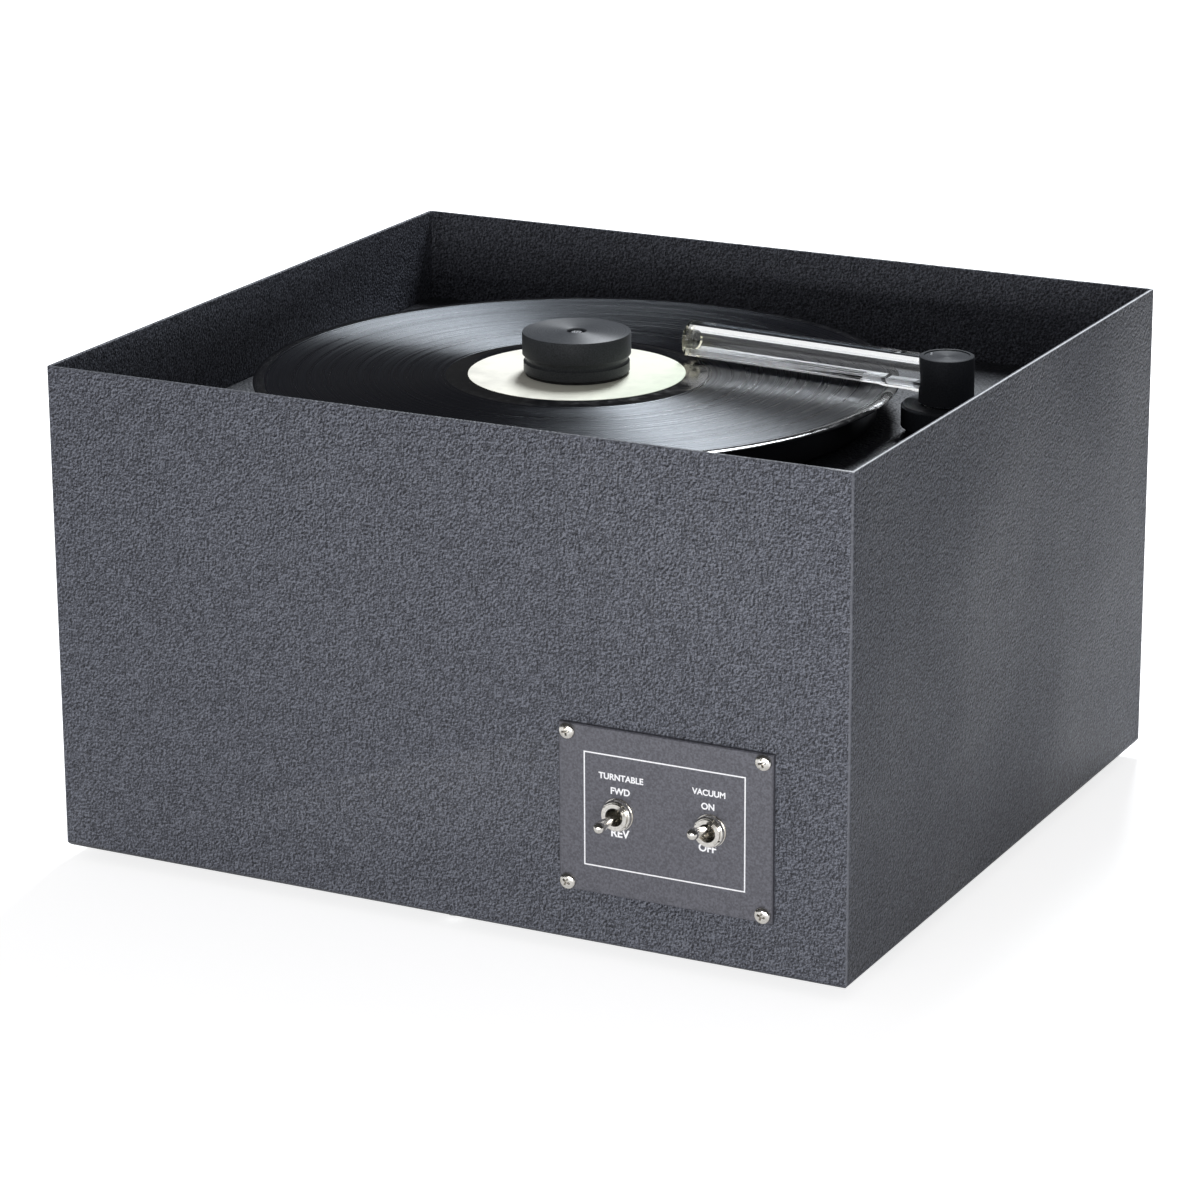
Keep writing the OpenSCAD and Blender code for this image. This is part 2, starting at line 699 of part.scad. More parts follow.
module swivel_post() {
    top = z_tube + post_over_tube;
    low = z_collar_top + float_gap;
    air_top = z_tube + side_air_r + 0.4;
    color(black) translate([post_x, post_y, 0]) rotate(tube_angle) difference() {
        rotate_extrude() polygon([
            [air_r, shank_low], [shank_r, shank_low], [shank_r, ring_top - ring_t],
            [shank_r - 1, ring_top - ring_t], [shank_r - 1, ring_top], [shank_r, ring_top],
            [shank_r, low], [post_r, low], [post_r, top - 0.9], [post_r - 0.9, top],
            [post_r - 2, top], [post_r - 2, top - cap_sink], [0, top - cap_sink],
            [0, air_top], [air_r, air_top]]);
        translate([air_r + 0.4, 0, z_tube]) rotate([0, 90, 0]) cylinder(h = post_r + 5, r = tube_r + socket_gap);
        translate([0, 0, z_tube]) rotate([0, 90, 0]) cylinder(h = post_r, r = side_air_r);
        translate([set_screw_x, 0, z_tube]) cylinder(h = 30, r = set_screw_r + fit_gap, $fn = 32);
    }
}

// Retaining ring in the shank's groove, which stops the post at the top of its float
ring_top = z_collar_top - well_d - bearing_l - 0.05;
module retaining_ring() {
    color(steel) translate([post_x, post_y, ring_top - ring_t + 0.05]) difference() {
        cylinder(h = ring_t - 0.1, r = 10.9);
        translate([0, 0, -cut]) cylinder(h = ring_t + 2 * cut, r = shank_r - 1 + 0.05);
        translate([0, -1.5, -cut]) cube([15, 3, ring_t + 2 * cut]);
    }
}

// Set screw that holds the tube in the post, its round end just proud of the top
set_screw_r = 1.3;
set_screw_x = 8;
module tube_set_screw() {
    z_low = z_tube + tube_r + 0.02;
    z_high = z_tube + post_over_tube - 0.1;
    color(steel) translate([post_x, post_y, 0]) rotate(tube_angle) translate([set_screw_x, 0, z_low]) {
        cylinder(h = z_high - z_low - 0.5, r = set_screw_r, $fn = 32);
        translate([0, 0, z_high - z_low - 0.5]) cylinder(h = 0.5, r1 = set_screw_r, r2 = 0.6, $fn = 32);
    }
}

// Vacuum tube: clear, its underside milled for the record's edge and flat for the slot
step_l = 2;
slot_start = tube_reach - slot_l - 5;
plug_face = 2;
module vacuum_tube() {
    bore = tube_r - tube_wall;
    end = tube_reach - plug_face;
    color("#dfe8ee", 0.4) translate([post_x, post_y, z_tube]) rotate(tube_angle) rotate([0, 90, 0]) difference() {
        translate([0, 0, tube_start]) cylinder(h = end - tube_start, r = tube_r);
        translate([0, 0, tube_start - cut]) cylinder(h = end, r = bore - 0.6);
        tube_flat(end + cut);
        translate([0, -slot_w / 2, slot_start]) cube([tube_r, slot_w, slot_l]);
    }
}

// What the mill takes off the underside, in the tube's own frame, up to z: relief, step, flat
module tube_flat(z) {
    flat_x = tube_r - flat_depth;
    relief_x = tube_r - relief_depth;
    relief_start = post_r + 3;
    rotate([90, 0, 0]) linear_extrude(4 * tube_r, center = true)
        polygon([[flat_x, flat_start + step_l], [flat_x, z], [2 * tube_r, z],
                 [2 * tube_r, relief_start], [relief_x, relief_start], [relief_x, flat_start]]);
}

// Clear plug in the tube's tip
module tube_plug() {
    bore = tube_r - tube_wall - 0.6;
    end = tube_reach;
    color("#e6e0c0", 0.5) translate([post_x, post_y, z_tube]) rotate(tube_angle) rotate([0, 90, 0]) difference() {
        union() {
            translate([0, 0, end - plug_face]) cylinder(h = plug_face - 0.6, r = tube_r);
            translate([0, 0, end - 0.6]) cylinder(h = 0.6, r1 = tube_r, r2 = tube_r - 0.6);
            translate([0, 0, end - plug_face - 2.6]) cylinder(h = plug_face, r = bore - 0.1);
            translate([0, 0, end - plug_face - 1]) cylinder(h = 1.2, r = bore - 0.1);
        }
        tube_flat(end + cut);
    }
}

// Velvet lips, one strip on each side of the slot
lip_w = 2.6;
module velvet_lips() {
    color(black) translate([post_x, post_y, z_tube]) rotate(tube_angle)
        for (y = [-1, 1]) translate([slot_start - 1, y * (slot_w / 2 + lip_w / 2 + 0.2) - lip_w / 2,
                                     -tube_r + flat_depth - lip_t])
            cube([slot_l + 2, lip_w, lip_t]);
}

// Suction hose, straight down from the collar's tail to the tank's lid
lid_t = 4;
lid_lip = 4;
tank_foot_h = wall + 1;
z_tank = z_case + tank_foot_h;
z_lid = z_tank + tank_h;
z_spigot = z_lid + lid_t;
module suction_hose() {
    low = z_spigot + 1;
    high = z_under - collar_stem - 1;
    color(smoke) translate([post_x, post_y, low]) ring(hose_r, hose_bore_r, high - low);
}

// Collection tank: a moulded box on four feet, with a drain pipe through the case's back
tank_corner = 8;
tank_foot_r = 7;
tank_foot_in = 22;
tank_x = post_x - 36;
tank_y = post_y + 38;
drain_pipe_r = 7;
drain_pipe_bore = 4.5;
pipe_out = 1.5;
module collection_tank() {
    color("#d8dadc") difference() {
        union() {
            translate([tank_x, tank_y, z_tank]) linear_extrude(tank_h) round_rect(tank_w, tank_d, tank_corner);
            for (x = [-1, 1], y = [-1, 1])
                translate([tank_x + x * (tank_w / 2 - tank_foot_in), tank_y + y * (tank_d / 2 - tank_foot_in), z_case])
                    cylinder(h = tank_foot_h + 0.5, r = tank_foot_r);
            translate([tank_x, tank_y, z_case + drain_z]) rotate([-90, 0, 0])
                cylinder(h = back_y + pipe_out - tank_y, r = drain_pipe_r);
        }
        translate([tank_x, tank_y, z_tank + tank_wall]) linear_extrude(tank_h)
            round_rect(tank_w - 2 * tank_wall, tank_d - 2 * tank_wall, tank_corner - tank_wall);
        translate([tank_x, tank_y, z_case + drain_z]) rotate([-90, 0, 0])
            cylinder(h = case_d, r = drain_pipe_bore);
    }
}

// Lid with two spigots: dirty fluid comes in, air goes out to the blower
air_out_x = tank_x - 34;
air_out_y = tank_y + 34;
module tank_lid() {
    places = [[post_x, post_y], [air_out_x, air_out_y]];
    color("#c3c6c9") difference() {
        union() {
            translate([tank_x, tank_y, z_lid]) linear_extrude(lid_t) round_rect(tank_w, tank_d, tank_corner);
            translate([tank_x, tank_y, z_lid - lid_lip]) linear_extrude(lid_lip + 0.5) difference() {
                round_rect(tank_w - 2 * tank_wall - 0.6, tank_d - 2 * tank_wall - 0.6, tank_corner - tank_wall - 0.3);
                square([tank_w - 4 * tank_wall, tank_d - 4 * tank_wall], center = true);
            }
            for (p = places) translate([p.x, p.y, z_lid]) cylinder(h = lid_t + spigot_l, r = tail_r);
        }
        for (p = places) translate([p.x, p.y, z_lid - lid_lip - cut])
            cylinder(h = lid_t + spigot_l + lid_lip + 2 * cut, r = tail_bore_r);
    }
}

// Air hose from the lid to the blower's inlet, with three bends
z_hose_run = z_under - hose_r - 2;
module blower_hose() {
    air_route = [[air_out_x, air_out_y, z_spigot + 1], [air_out_x, air_out_y, z_hose_run],
                 [blower_x, air_out_y, z_hose_run], [blower_x, blower_y, z_hose_run],
                 [blower_x, blower_y, z_blower_top + 1]];
    color(smoke) difference() {
        bent_bar(air_route, hose_r, hose_bend);
        bent_bar(air_route, hose_bore_r, hose_bend);
    }
}

// Blower, from the base up: rubber mount, motor frame, field, armature, fan
blower_shaft_r = 4;
blower_flange_t = 2;
frame_r = 46;
z_mount = z_case;
z_frame = z_mount + mount_t;
inlet_clear = 2.5;
z_fan_top = z_hose_run - hose_bend - blower_inlet_l - inlet_clear;
z_fan = z_fan_top - fan_h;
blower_motor_h = z_fan - z_frame;
z_blower_top = z_fan_top + blower_flange_t;

// Rubber mount ring on the base plate
module blower_mount() {
    color(rubber) translate([blower_x, blower_y, z_mount]) ring(frame_r + 4, frame_r - 14, mount_t);
}

// Frame: a bottom cup with the lower bearing, four posts and a top plate
cup_h = 18;
frame_wall = 2.5;
frame_top_t = 4;
module blower_frame() {
    post_w = 12;
    color(steel) translate([blower_x, blower_y, z_frame]) difference() {
        union() {
            cylinder(h = cup_h, r = frame_r);
            translate([0, 0, blower_motor_h - frame_top_t]) cylinder(h = frame_top_t, r = frame_r);
            for (a = [45 : 90 : 315]) rotate(a) translate([frame_r - 5 - frame_wall, -post_w / 2, cup_h - cut])
                cube([5, post_w, blower_motor_h - cup_h]);
        }
        translate([0, 0, frame_wall]) cylinder(h = cup_h, r = frame_r - frame_wall);
        translate([0, 0, -cut]) cylinder(h = blower_motor_h + 2 * cut, r = blower_shaft_r + run_gap);
    }
}

// Field: laminated stator with two copper windings
field_gap = 4;
winding_h = 6;
field_z = cup_h + field_gap;
field_h = blower_motor_h - field_z - winding_h - frame_top_t - field_gap;
field_in_r = 26;
module blower_field() {
    translate([blower_x, blower_y, z_frame + field_z]) {
        color(steel) ring(frame_r - 5 - frame_wall - 0.05, field_in_r, field_h);
        color(brass) for (a = [0, 180]) rotate(a) translate([0, 0, field_h]) intersection() {
            ring(frame_r - 11, field_in_r + 1, winding_h);
            translate([0, -20, 0]) cube([60, 40, winding_h]);
        }
    }
}

// Armature pressed on its shaft, with the commutator
module blower_armature() {
    translate([blower_x, blower_y, z_frame]) {
        color(steel) translate([0, 0, 0.6]) cylinder(h = blower_motor_h + fan_h - 7, r = blower_shaft_r);
        color(smoke) translate([0, 0, field_z - 2]) ring(field_in_r - 0.6, blower_shaft_r - 0.1, field_h + 4);
        color(brass) translate([0, 0, 5]) ring(12, blower_shaft_r - 0.1, 10);
    }
}

// Impeller: two discs with curved blades between them
impeller_z = 8;
blade_h = 14;
eye_r = 19;
blade_t = 1.2;
blade_curve_r = 34;
module blower_impeller() {
    hub = 10;
    color("#cfd3d6") translate([blower_x, blower_y, z_fan + impeller_z]) {
        difference() {
            union() {
                cylinder(h = 1.2, r = impeller_r);
                cylinder(h = blade_h, r = hub);
                translate([0, 0, 1.2 + blade_h]) ring(impeller_r, eye_r, 1.2);
                for (i = [0 : blade_count - 1]) rotate(i * 360 / blade_count) intersection() {
                    translate([blade_curve_r - 1, 0, 1]) ring(blade_curve_r + blade_t / 2, blade_curve_r - blade_t / 2, blade_h + 0.4);
                    translate([0, 0, 1]) ring(impeller_r - 1, hub + 4, blade_h + 0.4);
                    cube([impeller_r, impeller_r, fan_h]);
                }
            }
            translate([0, 0, -cut]) cylinder(h = blade_h + 4, r = blower_shaft_r + run_gap);
        }
    }
}

// Fan housing: a pressed drum with outlet ports round its side
port_count = 8;
module fan_housing() {
    color(zinc) translate([blower_x, blower_y, z_fan]) difference() {
        cylinder(h = fan_h, r = fan_r);
        translate([0, 0, fan_wall]) cylinder(h = fan_h - 2 * fan_wall, r = fan_r - fan_wall);
        translate([0, 0, -cut]) cylinder(h = 5, r = blower_shaft_r + 2);
        translate([0, 0, fan_h - 5]) cylinder(h = 6, r = eye_r - 2);
        for (i = [0 : port_count - 1]) rotate((i + 0.5) * 360 / port_count)
            translate([fan_r - 5, -11, fan_h - 16]) cube([10, 22, 10]);
    }
}

// Flanged spigot on the fan's eye, in the hose's straight end
inlet_flange_r = 26;
module blower_inlet() {
    color(zinc) translate([blower_x, blower_y, z_fan_top]) difference() {
        union() {
            cylinder(h = blower_flange_t, r = inlet_flange_r);
            cylinder(h = blower_inlet_l, r = tail_r);
        }
        translate([0, 0, -cut]) cylinder(h = blower_inlet_l + 2 * cut, r = tail_bore_r);
    }
}

// Gear train: an involute pair from the rotor to the cluster, and one on to the output
pressure_angle = 25;
centre_slack = 0.04;
c1 = (pinion_teeth + wheel_teeth) * module_1 / 2 + centre_slack;
c2 = (pinion_teeth + wheel_teeth) * module_2 / 2 + centre_slack;
cluster_x = spindle_x + c2;
rotor_x = cluster_x + c1;
cluster_r = 2.5;
rotor_shaft_r = 2;
z_plate_top = z_under - standoff_l;
gear_space = 2 * gear_face + 5;
z_plate_low = z_plate_top - gear_plate_t - gear_space;
z_first = z_plate_low + 1.5;
z_second = z_first + gear_face + 1.5;

// Angle of an involute, in degrees, at radius r from base radius rb
function involute(rb, r) = r <= rb ? 0 : let (a = acos(rb / r)) tan(a) * 180 / PI - a;

// Outline of a spur gear: root, flank, tip and flank of each tooth in turn
function gear_outline(m, teeth, steps = 4) = let (
    rp = m * teeth / 2,
    rb = rp * cos(pressure_angle),
    tip = rp + m * 0.95,
    root = rp - m * 1.25,
    start = max(rb, root),
    half = 90 / teeth - backlash / 2 / rp * 180 / PI + involute(rb, rp),
    flank = [for (k = [0 : steps]) let (r = start + (tip - start) * k / steps) [r, half - involute(rb, r)]],
    low = rb > root ? [[root, half]] : []
) [for (i = [0 : teeth - 1]) let (c = i * 360 / teeth) each concat(
    [for (p = concat(low, flank)) p[0] * [cos(c - p[1]), sin(c - p[1])]],
    [for (k = [len(flank) - 1 : -1 : 0]) flank[k][0] * [cos(c + flank[k][1]), sin(c + flank[k][1])]],
    [for (p = low) p[0] * [cos(c + p[1]), sin(c + p[1])]])];

// A spur gear; a tooth points along +X
module spur_gear(m, teeth, h) {
    linear_extrude(h) polygon(gear_outline(m, teeth));
}

// Turn of a wheel so that a gap meets the pinion that lies towards -X
mesh_turn = 180 - 180 / wheel_teeth;

// Gearbox plates: two plates with bearing holes and pillar holes
gearbox_margin = 9;
gearbox_w = rotor_x - spindle_x + 2 * (wheel_teeth * module_2 / 2 + gearbox_margin);
gearbox_d = wheel_teeth * module_2 + 2 * gearbox_margin + 4;
gearbox_mid = (rotor_x + spindle_x) / 2;
gearbox_corner = 6;
pillar_r = 4;
pillar_in = pillar_r + 3;
pillar_places = [for (x = [-1, 1], y = [-1, 1])
    [gearbox_mid + x * (gearbox_w / 2 - pillar_in), spindle_y + y * (gearbox_d / 2 - pillar_in)]];

module gearbox_plates() {
    color(zinc) for (z = [z_plate_low - gear_plate_t, z_plate_top - gear_plate_t]) difference() {
        translate([gearbox_mid, spindle_y, z]) linear_extrude(gear_plate_t)
            round_rect(gearbox_w, gearbox_d, gearbox_corner);
        translate([spindle_x, spindle_y, z - cut]) cylinder(h = gear_plate_t + 2 * cut, r = output_r + run_gap);
        translate([cluster_x, spindle_y, z - cut]) cylinder(h = gear_plate_t + 2 * cut, r = cluster_r + run_gap);
        translate([rotor_x, spindle_y, z - cut]) cylinder(h = gear_plate_t + 2 * cut, r = rotor_shaft_r + run_gap);
        for (p = pillar_places) translate([p.x, p.y, z - cut])
            cylinder(h = gear_plate_t + 2 * cut, r = m4_r + fit_gap, $fn = 32);
    }
}

// Pillars: four between the plates with a stud through both, and four hung from the deck
stud_l = 5;
module gearbox_pillars() {
    color(steel) for (p = pillar_places) {
        translate([p.x, p.y, z_plate_low]) cylinder(h = gear_space, r = pillar_r);
        translate([p.x, p.y, z_plate_low - gear_plate_t])
            cylinder(h = gear_space + 2 * gear_plate_t + stud_l, r = m4_r);
        translate([p.x, p.y, z_plate_top]) ring(pillar_r, m4_r + fit_gap, standoff_l);
    }
}

// Countersunk screws from the deck's top, hidden by the platter
module motor_screws() {
    color(zinc) for (p = pillar_places) translate([p.x, p.y, z_deck])
        flat_screw(m4_r, m4_head_r, deck_t + standoff_l - stud_l - 3);
}

// Motor can: a drawn cup, open towards the gearbox
can_wall = 1.2;
z_can = z_plate_low - gear_plate_t - can_h;
module motor_can() {
    color(steel) translate([rotor_x, spindle_y, z_can]) difference() {
        cylinder(h = can_h, r = can_r);
        translate([0, 0, can_wall]) cylinder(h = can_h, r = can_r - can_wall);
        translate([0, 0, -cut]) cylinder(h = 4, r = rotor_shaft_r + run_gap);
    }
}

// Coil bobbin round the rotor
coil_in_r = 17;
module motor_coil() {
    color(brass) translate([rotor_x, spindle_y, z_can + can_wall])
        ring(can_r - can_wall - 0.1, coil_in_r, can_h - 2 * can_wall - 1);
}

// Rotor: ring magnet on a shaft with the first pinion
module motor_rotor() {
    magnet_gap = 0.8;
    translate([rotor_x, spindle_y, 0]) {
        color(steel) translate([0, 0, z_can + 0.2])
            cylinder(h = z_first + gear_face + 2 - z_can, r = rotor_shaft_r);
        color(smoke) translate([0, 0, z_can + can_wall + 2])
            cylinder(h = can_h - 2 * can_wall - 5, r = coil_in_r - magnet_gap);
        color(brass) translate([0, 0, z_first]) rotate(180) spur_gear(module_1, pinion_teeth, gear_face);
    }
}

// Cluster: large wheel driven by the rotor, small pinion that drives the output gear
module gear_cluster() {
    translate([cluster_x, spindle_y, 0]) {
        color(steel) translate([0, 0, z_plate_low - gear_plate_t + 0.2])
            cylinder(h = gear_space + 2 * gear_plate_t - 0.4, r = cluster_r);
        color(brass) translate([0, 0, z_first]) rotate(mesh_turn + 180)
            spur_gear(module_1, wheel_teeth, gear_face);
        color(brass) translate([0, 0, z_second - 0.7]) cylinder(h = 0.8, r = cluster_r + 1.5);
        color(brass) translate([0, 0, z_first + gear_face - 0.1]) cylinder(h = 1, r = cluster_r + 1.5);
        color(brass) translate([0, 0, z_second]) rotate(180) spur_gear(module_2, pinion_teeth, gear_face);
    }
}

// Output gear on its shaft
module output_gear() {
    color(brass) translate([spindle_x, spindle_y, z_second]) difference() {
        union() {
            rotate(mesh_turn + 180) spur_gear(module_2, wheel_teeth, gear_face);
            translate([0, 0, gear_face - 0.1]) cylinder(h = 1.6, r = output_r + 3);
        }
        translate([0, 0, -cut]) cylinder(h = gear_face + 4, r = output_r + run_gap);
        for (a = [0 : 72 : 288]) rotate(a) translate([14, 0, -cut]) cylinder(h = gear_face + 4, r = 4.5, $fn = 32);
    }
}

// Output shaft, up into the spindle's hub
shaft_top = z_platter - 2;
module output_shaft() {
    low = z_plate_low - gear_plate_t + 0.2;
    color(steel) translate([spindle_x, spindle_y, low]) cylinder(h = shaft_top - low, r = output_r);
}

// Spindle hub: flange under the platter, boss down to the shaft
hub_boss_r = 12;
hub_low = z_under - standoff_l + 3;
spindle_foot_r = 5;
module spindle_hub() {
    color(steel) translate([spindle_x, spindle_y, 0]) difference() {
        union() {
            translate([0, 0, z_platter]) cylinder(h = hub_t, r = hub_r);
            translate([0, 0, hub_low]) cylinder(h = z_platter - hub_low + cut, r = hub_boss_r);
        }
        translate([0, 0, hub_low - cut]) cylinder(h = shaft_top - hub_low + cut + 0.2, r = output_r + run_gap);
        translate([0, 0, z_platter + 1]) cylinder(h = hub_t, r = spindle_foot_r - 1 + run_gap);
    }
}

// Spindle: shouldered foot in the hub, plain neck in the record, threaded top
module spindle() {
    foot_top = z_record - 0.2;
    color(steel) translate([spindle_x, spindle_y, 0]) rotate_extrude() polygon([
        [0, z_platter + 1.2], [spindle_foot_r - 1, z_platter + 1.2], [spindle_foot_r - 1, z_platter + hub_t],
        [spindle_foot_r, z_platter + hub_t], [spindle_foot_r, foot_top], [record_hole_r - 0.06, foot_top],
        [record_hole_r - 0.06, z_label], [thread_r, z_label], [thread_r, z_knob_top - 1.4],
        [thread_r - 0.8, z_knob_top - 0.6], [0, z_knob_top - 0.6]]);
}

// Platter: a turned disc with a recess for the hub
module platter() {
    e = 1.2;
    color(black) translate([spindle_x, spindle_y, z_platter]) rotate_extrude() polygon([
        [hub_r + 0.3, 0], [platter_r - e, 0], [platter_r, e], [platter_r, platter_t - e],
        [platter_r - e, platter_t], [spindle_foot_r + run_gap, platter_t],
        [spindle_foot_r + run_gap, hub_t], [hub_r + 0.3, hub_t]]);
}

// Cork mat on the platter
module platter_mat() {
    color("#8a6b4b") translate([spindle_x, spindle_y, z_mat])
        ring(platter_r - 1.5, spindle_foot_r + 0.1, mat_t);
}

// Record: raised rim and label area, thinner grooved band
rim_bead = 3;
module record() {
    slope = 1;
    top = record_t - groove_drop;
    color("#0c0c0d") translate([spindle_x, spindle_y, z_record]) rotate_extrude($fn = 180) polygon([
        [record_hole_r, 0], [label_r + 3, 0], [label_r + 3 + slope, groove_drop],
        [record_r - rim_bead - slope, groove_drop], [record_r - rim_bead, 0], [record_r - 0.6, 0],
        [record_r, 0.6], [record_r, record_t - 0.6], [record_r - 0.6, record_t],
        [record_r - rim_bead, record_t], [record_r - rim_bead - slope, top],
        [label_r + 3 + slope, top], [label_r + 3, record_t], [record_hole_r, record_t]]);
}

// Paper label
module record_label() {
    color("#e6e6d2") translate([spindle_x, spindle_y, z_label]) ring(label_r, record_hole_r, label_t);
}

// Clamp knob: turned, with a round groove near its foot and a counterbored top
module clamp_knob() {
    h = clamp_h - washer_t;
    groove_z = clamp_groove_z - washer_t;
    groove_w = 1.7;
    e = 0.8;
    color(black) translate([spindle_x, spindle_y, z_knob]) difference() {
        rotate_extrude() difference() {
            polygon([
                [thread_r + run_gap, 0], [clamp_r - 1.2, 0], [clamp_r - 0.5, 0.7], [clamp_r - 0.5, groove_z],
                [clamp_r, groove_z + 0.6], [clamp_r, h - e], [clamp_r - e, h], [4.6, h],
                [4.6, h - 1.6], [thread_r + run_gap, h - 1.6]]);
            translate([clamp_r + groove_w - clamp_groove_d, groove_z]) circle(groove_w, $fn = 48);
        }
    }
}

// Rubber washer under the clamp
module clamp_washer() {
    color(rubber) translate([spindle_x, spindle_y, z_washer]) ring(clamp_r - 1.4, record_hole_r, washer_t);
}

// Mains inlet: flange, body with the socket, and the slot of the fuse drawer
inlet_flange_w = 50;
inlet_flange_h = 50;
inlet_flange_t = 2.6;
inlet_body_w = 28;
inlet_body_h = 44;
inlet_body_l = 24;
inlet_screw_dx = 40;
socket_w = 24.2;
socket_h = 16.8;
socket_d = 17;
socket_cut = 5;
socket_z = -8;
drawer_w = 22;
drawer_h = 7;
drawer_d = 20;
drawer_z = 12;
drawer_gap = 0.2;

// Outline of the socket: a rectangle with two corners cut off
module socket_shape() {
    polygon([[-socket_w / 2, socket_h / 2 - socket_cut], [-socket_w / 2 + socket_cut, socket_h / 2],
             [socket_w / 2 - socket_cut, socket_h / 2], [socket_w / 2, socket_h / 2 - socket_cut],
             [socket_w / 2, -socket_h / 2], [-socket_w / 2, -socket_h / 2]]);
}

// Moves to the inlet's middle on the back face, its local +Z pointing out of the case
module at_inlet() {
    translate([inlet_x, back_y, z_case + inlet_z]) rotate([90, 0, 180]) children();
}

module power_inlet() {
    color(black) at_inlet() difference() {
        union() {
            linear_extrude(inlet_flange_t) round_rect(inlet_flange_w, inlet_flange_h, 4);
            translate([-inlet_body_w / 2, -inlet_body_h / 2, -inlet_body_l])
                cube([inlet_body_w, inlet_body_h, inlet_body_l + 0.1]);
        }
        translate([0, socket_z, inlet_flange_t - socket_d]) linear_extrude(socket_d + cut) socket_shape();
        translate([-drawer_w / 2, drawer_z - drawer_h / 2, inlet_flange_t - drawer_d])
            cube([drawer_w, drawer_h, drawer_d + cut]);
        for (p = pin_places) translate([p.x - pin_t / 2, socket_z + p.y - pin_w / 2, -inlet_body_l - cut])
            cube([pin_t, pin_w, inlet_body_l]);
        for (x = [-1, 1]) translate([x * inlet_screw_dx / 2, 0, -cut]) {
            cylinder(h = inlet_flange_t + 2 * cut, r = m3_r + fit_gap, $fn = 32);
        }
    }
}

// The inlet's three blades, with their solder tags
pin_t = 2;
pin_w = 4;
pin_places = [[-7, -2], [0, 2], [7, -2]];
module inlet_pins() {
    color(zinc) at_inlet() for (p = pin_places)
        translate([p.x - pin_t / 2 + 0.02, socket_z + p.y - pin_w / 2 + 0.02, -inlet_body_l - 6])
            cube([pin_t - 0.04, pin_w - 0.04, inlet_body_l + 6 + inlet_flange_t - 4]);
}

// The inlet's two screws
module inlet_screws() {
    color(zinc) at_inlet() for (x = [-1, 1]) translate([x * inlet_screw_dx / 2, 0, inlet_flange_t])
        rotate(30 * x) pan_screw(m3_r, m3_head_r, m3_head_h, inlet_flange_t + wall + 3);
}

// Fuse drawer: slides out of the inlet, with a finger lip
module fuse_drawer() {
    lip = 1.6;
    color(black) at_inlet() difference() {
        union() {
            translate([-drawer_w / 2 + drawer_gap, drawer_z - drawer_h / 2 + drawer_gap, inlet_flange_t - drawer_d + 0.3])
                cube([drawer_w - 2 * drawer_gap, drawer_h - 2 * drawer_gap, drawer_d - 0.2]);
            translate([-drawer_w / 2 - 1, drawer_z - drawer_h / 2 - 1, inlet_flange_t + 0.05])
                cube([drawer_w + 2, drawer_h + 2, lip]);
        }
        translate([-6, drawer_z - drawer_h / 2 + 1.2, inlet_flange_t - drawer_d - cut])
            cube([12, drawer_h, drawer_d - 2]);
    }
}

// Terminal block on the base plate
block_x = -60;
block_y = 120;
block_ways = 5;
block_pitch = 11;
block_d = 18;
block_h = 14;
module terminal_block() {
    l = block_ways * block_pitch;
    color("#e8e6dc") translate([block_x, block_y, z_case]) difference() {
        translate([-l / 2, -block_d / 2, 0]) cube([l, block_d, block_h]);
        for (i = [0 : block_ways - 1]) translate([(i + 0.5) * block_pitch - l / 2, 0, 0]) {
            translate([0, 0, 8]) cylinder(h = block_h, r = 2.6, $fn = 32);
            for (y = [-1, 1]) translate([-3, y * block_d / 2 - 2.5, 3]) cube([6, 5, 5]);
        }
    }
}

// Run capacitor of the turntable motor, on the base plate
capacitor_x = 12;
capacitor_back = 49;
capacitor_w = 42;
capacitor_d = 22;
capacitor_h = 30;
capacitor_corner = 4;
capacitor_rim = 2;
capacitor_sink = 1.5;
terminal_dx = 18;
terminal_r = 1.5;
terminal_deep = 10;
module motor_capacitor() {
    color("#c9ccd1") translate([capacitor_x, back_y - capacitor_back, z_case]) difference() {
        linear_extrude(capacitor_h) round_rect(capacitor_w, capacitor_d, capacitor_corner);
        translate([0, 0, capacitor_h - capacitor_sink]) linear_extrude(2 * capacitor_sink)
            round_rect(capacitor_w - 2 * capacitor_rim, capacitor_d - 2 * capacitor_rim, capacitor_corner - 1);
        for (x = [-1, 1]) translate([x * terminal_dx / 2, 0, capacitor_h - terminal_deep])
            cylinder(h = terminal_deep + cut, r = terminal_r, $fn = 24);
    }
}

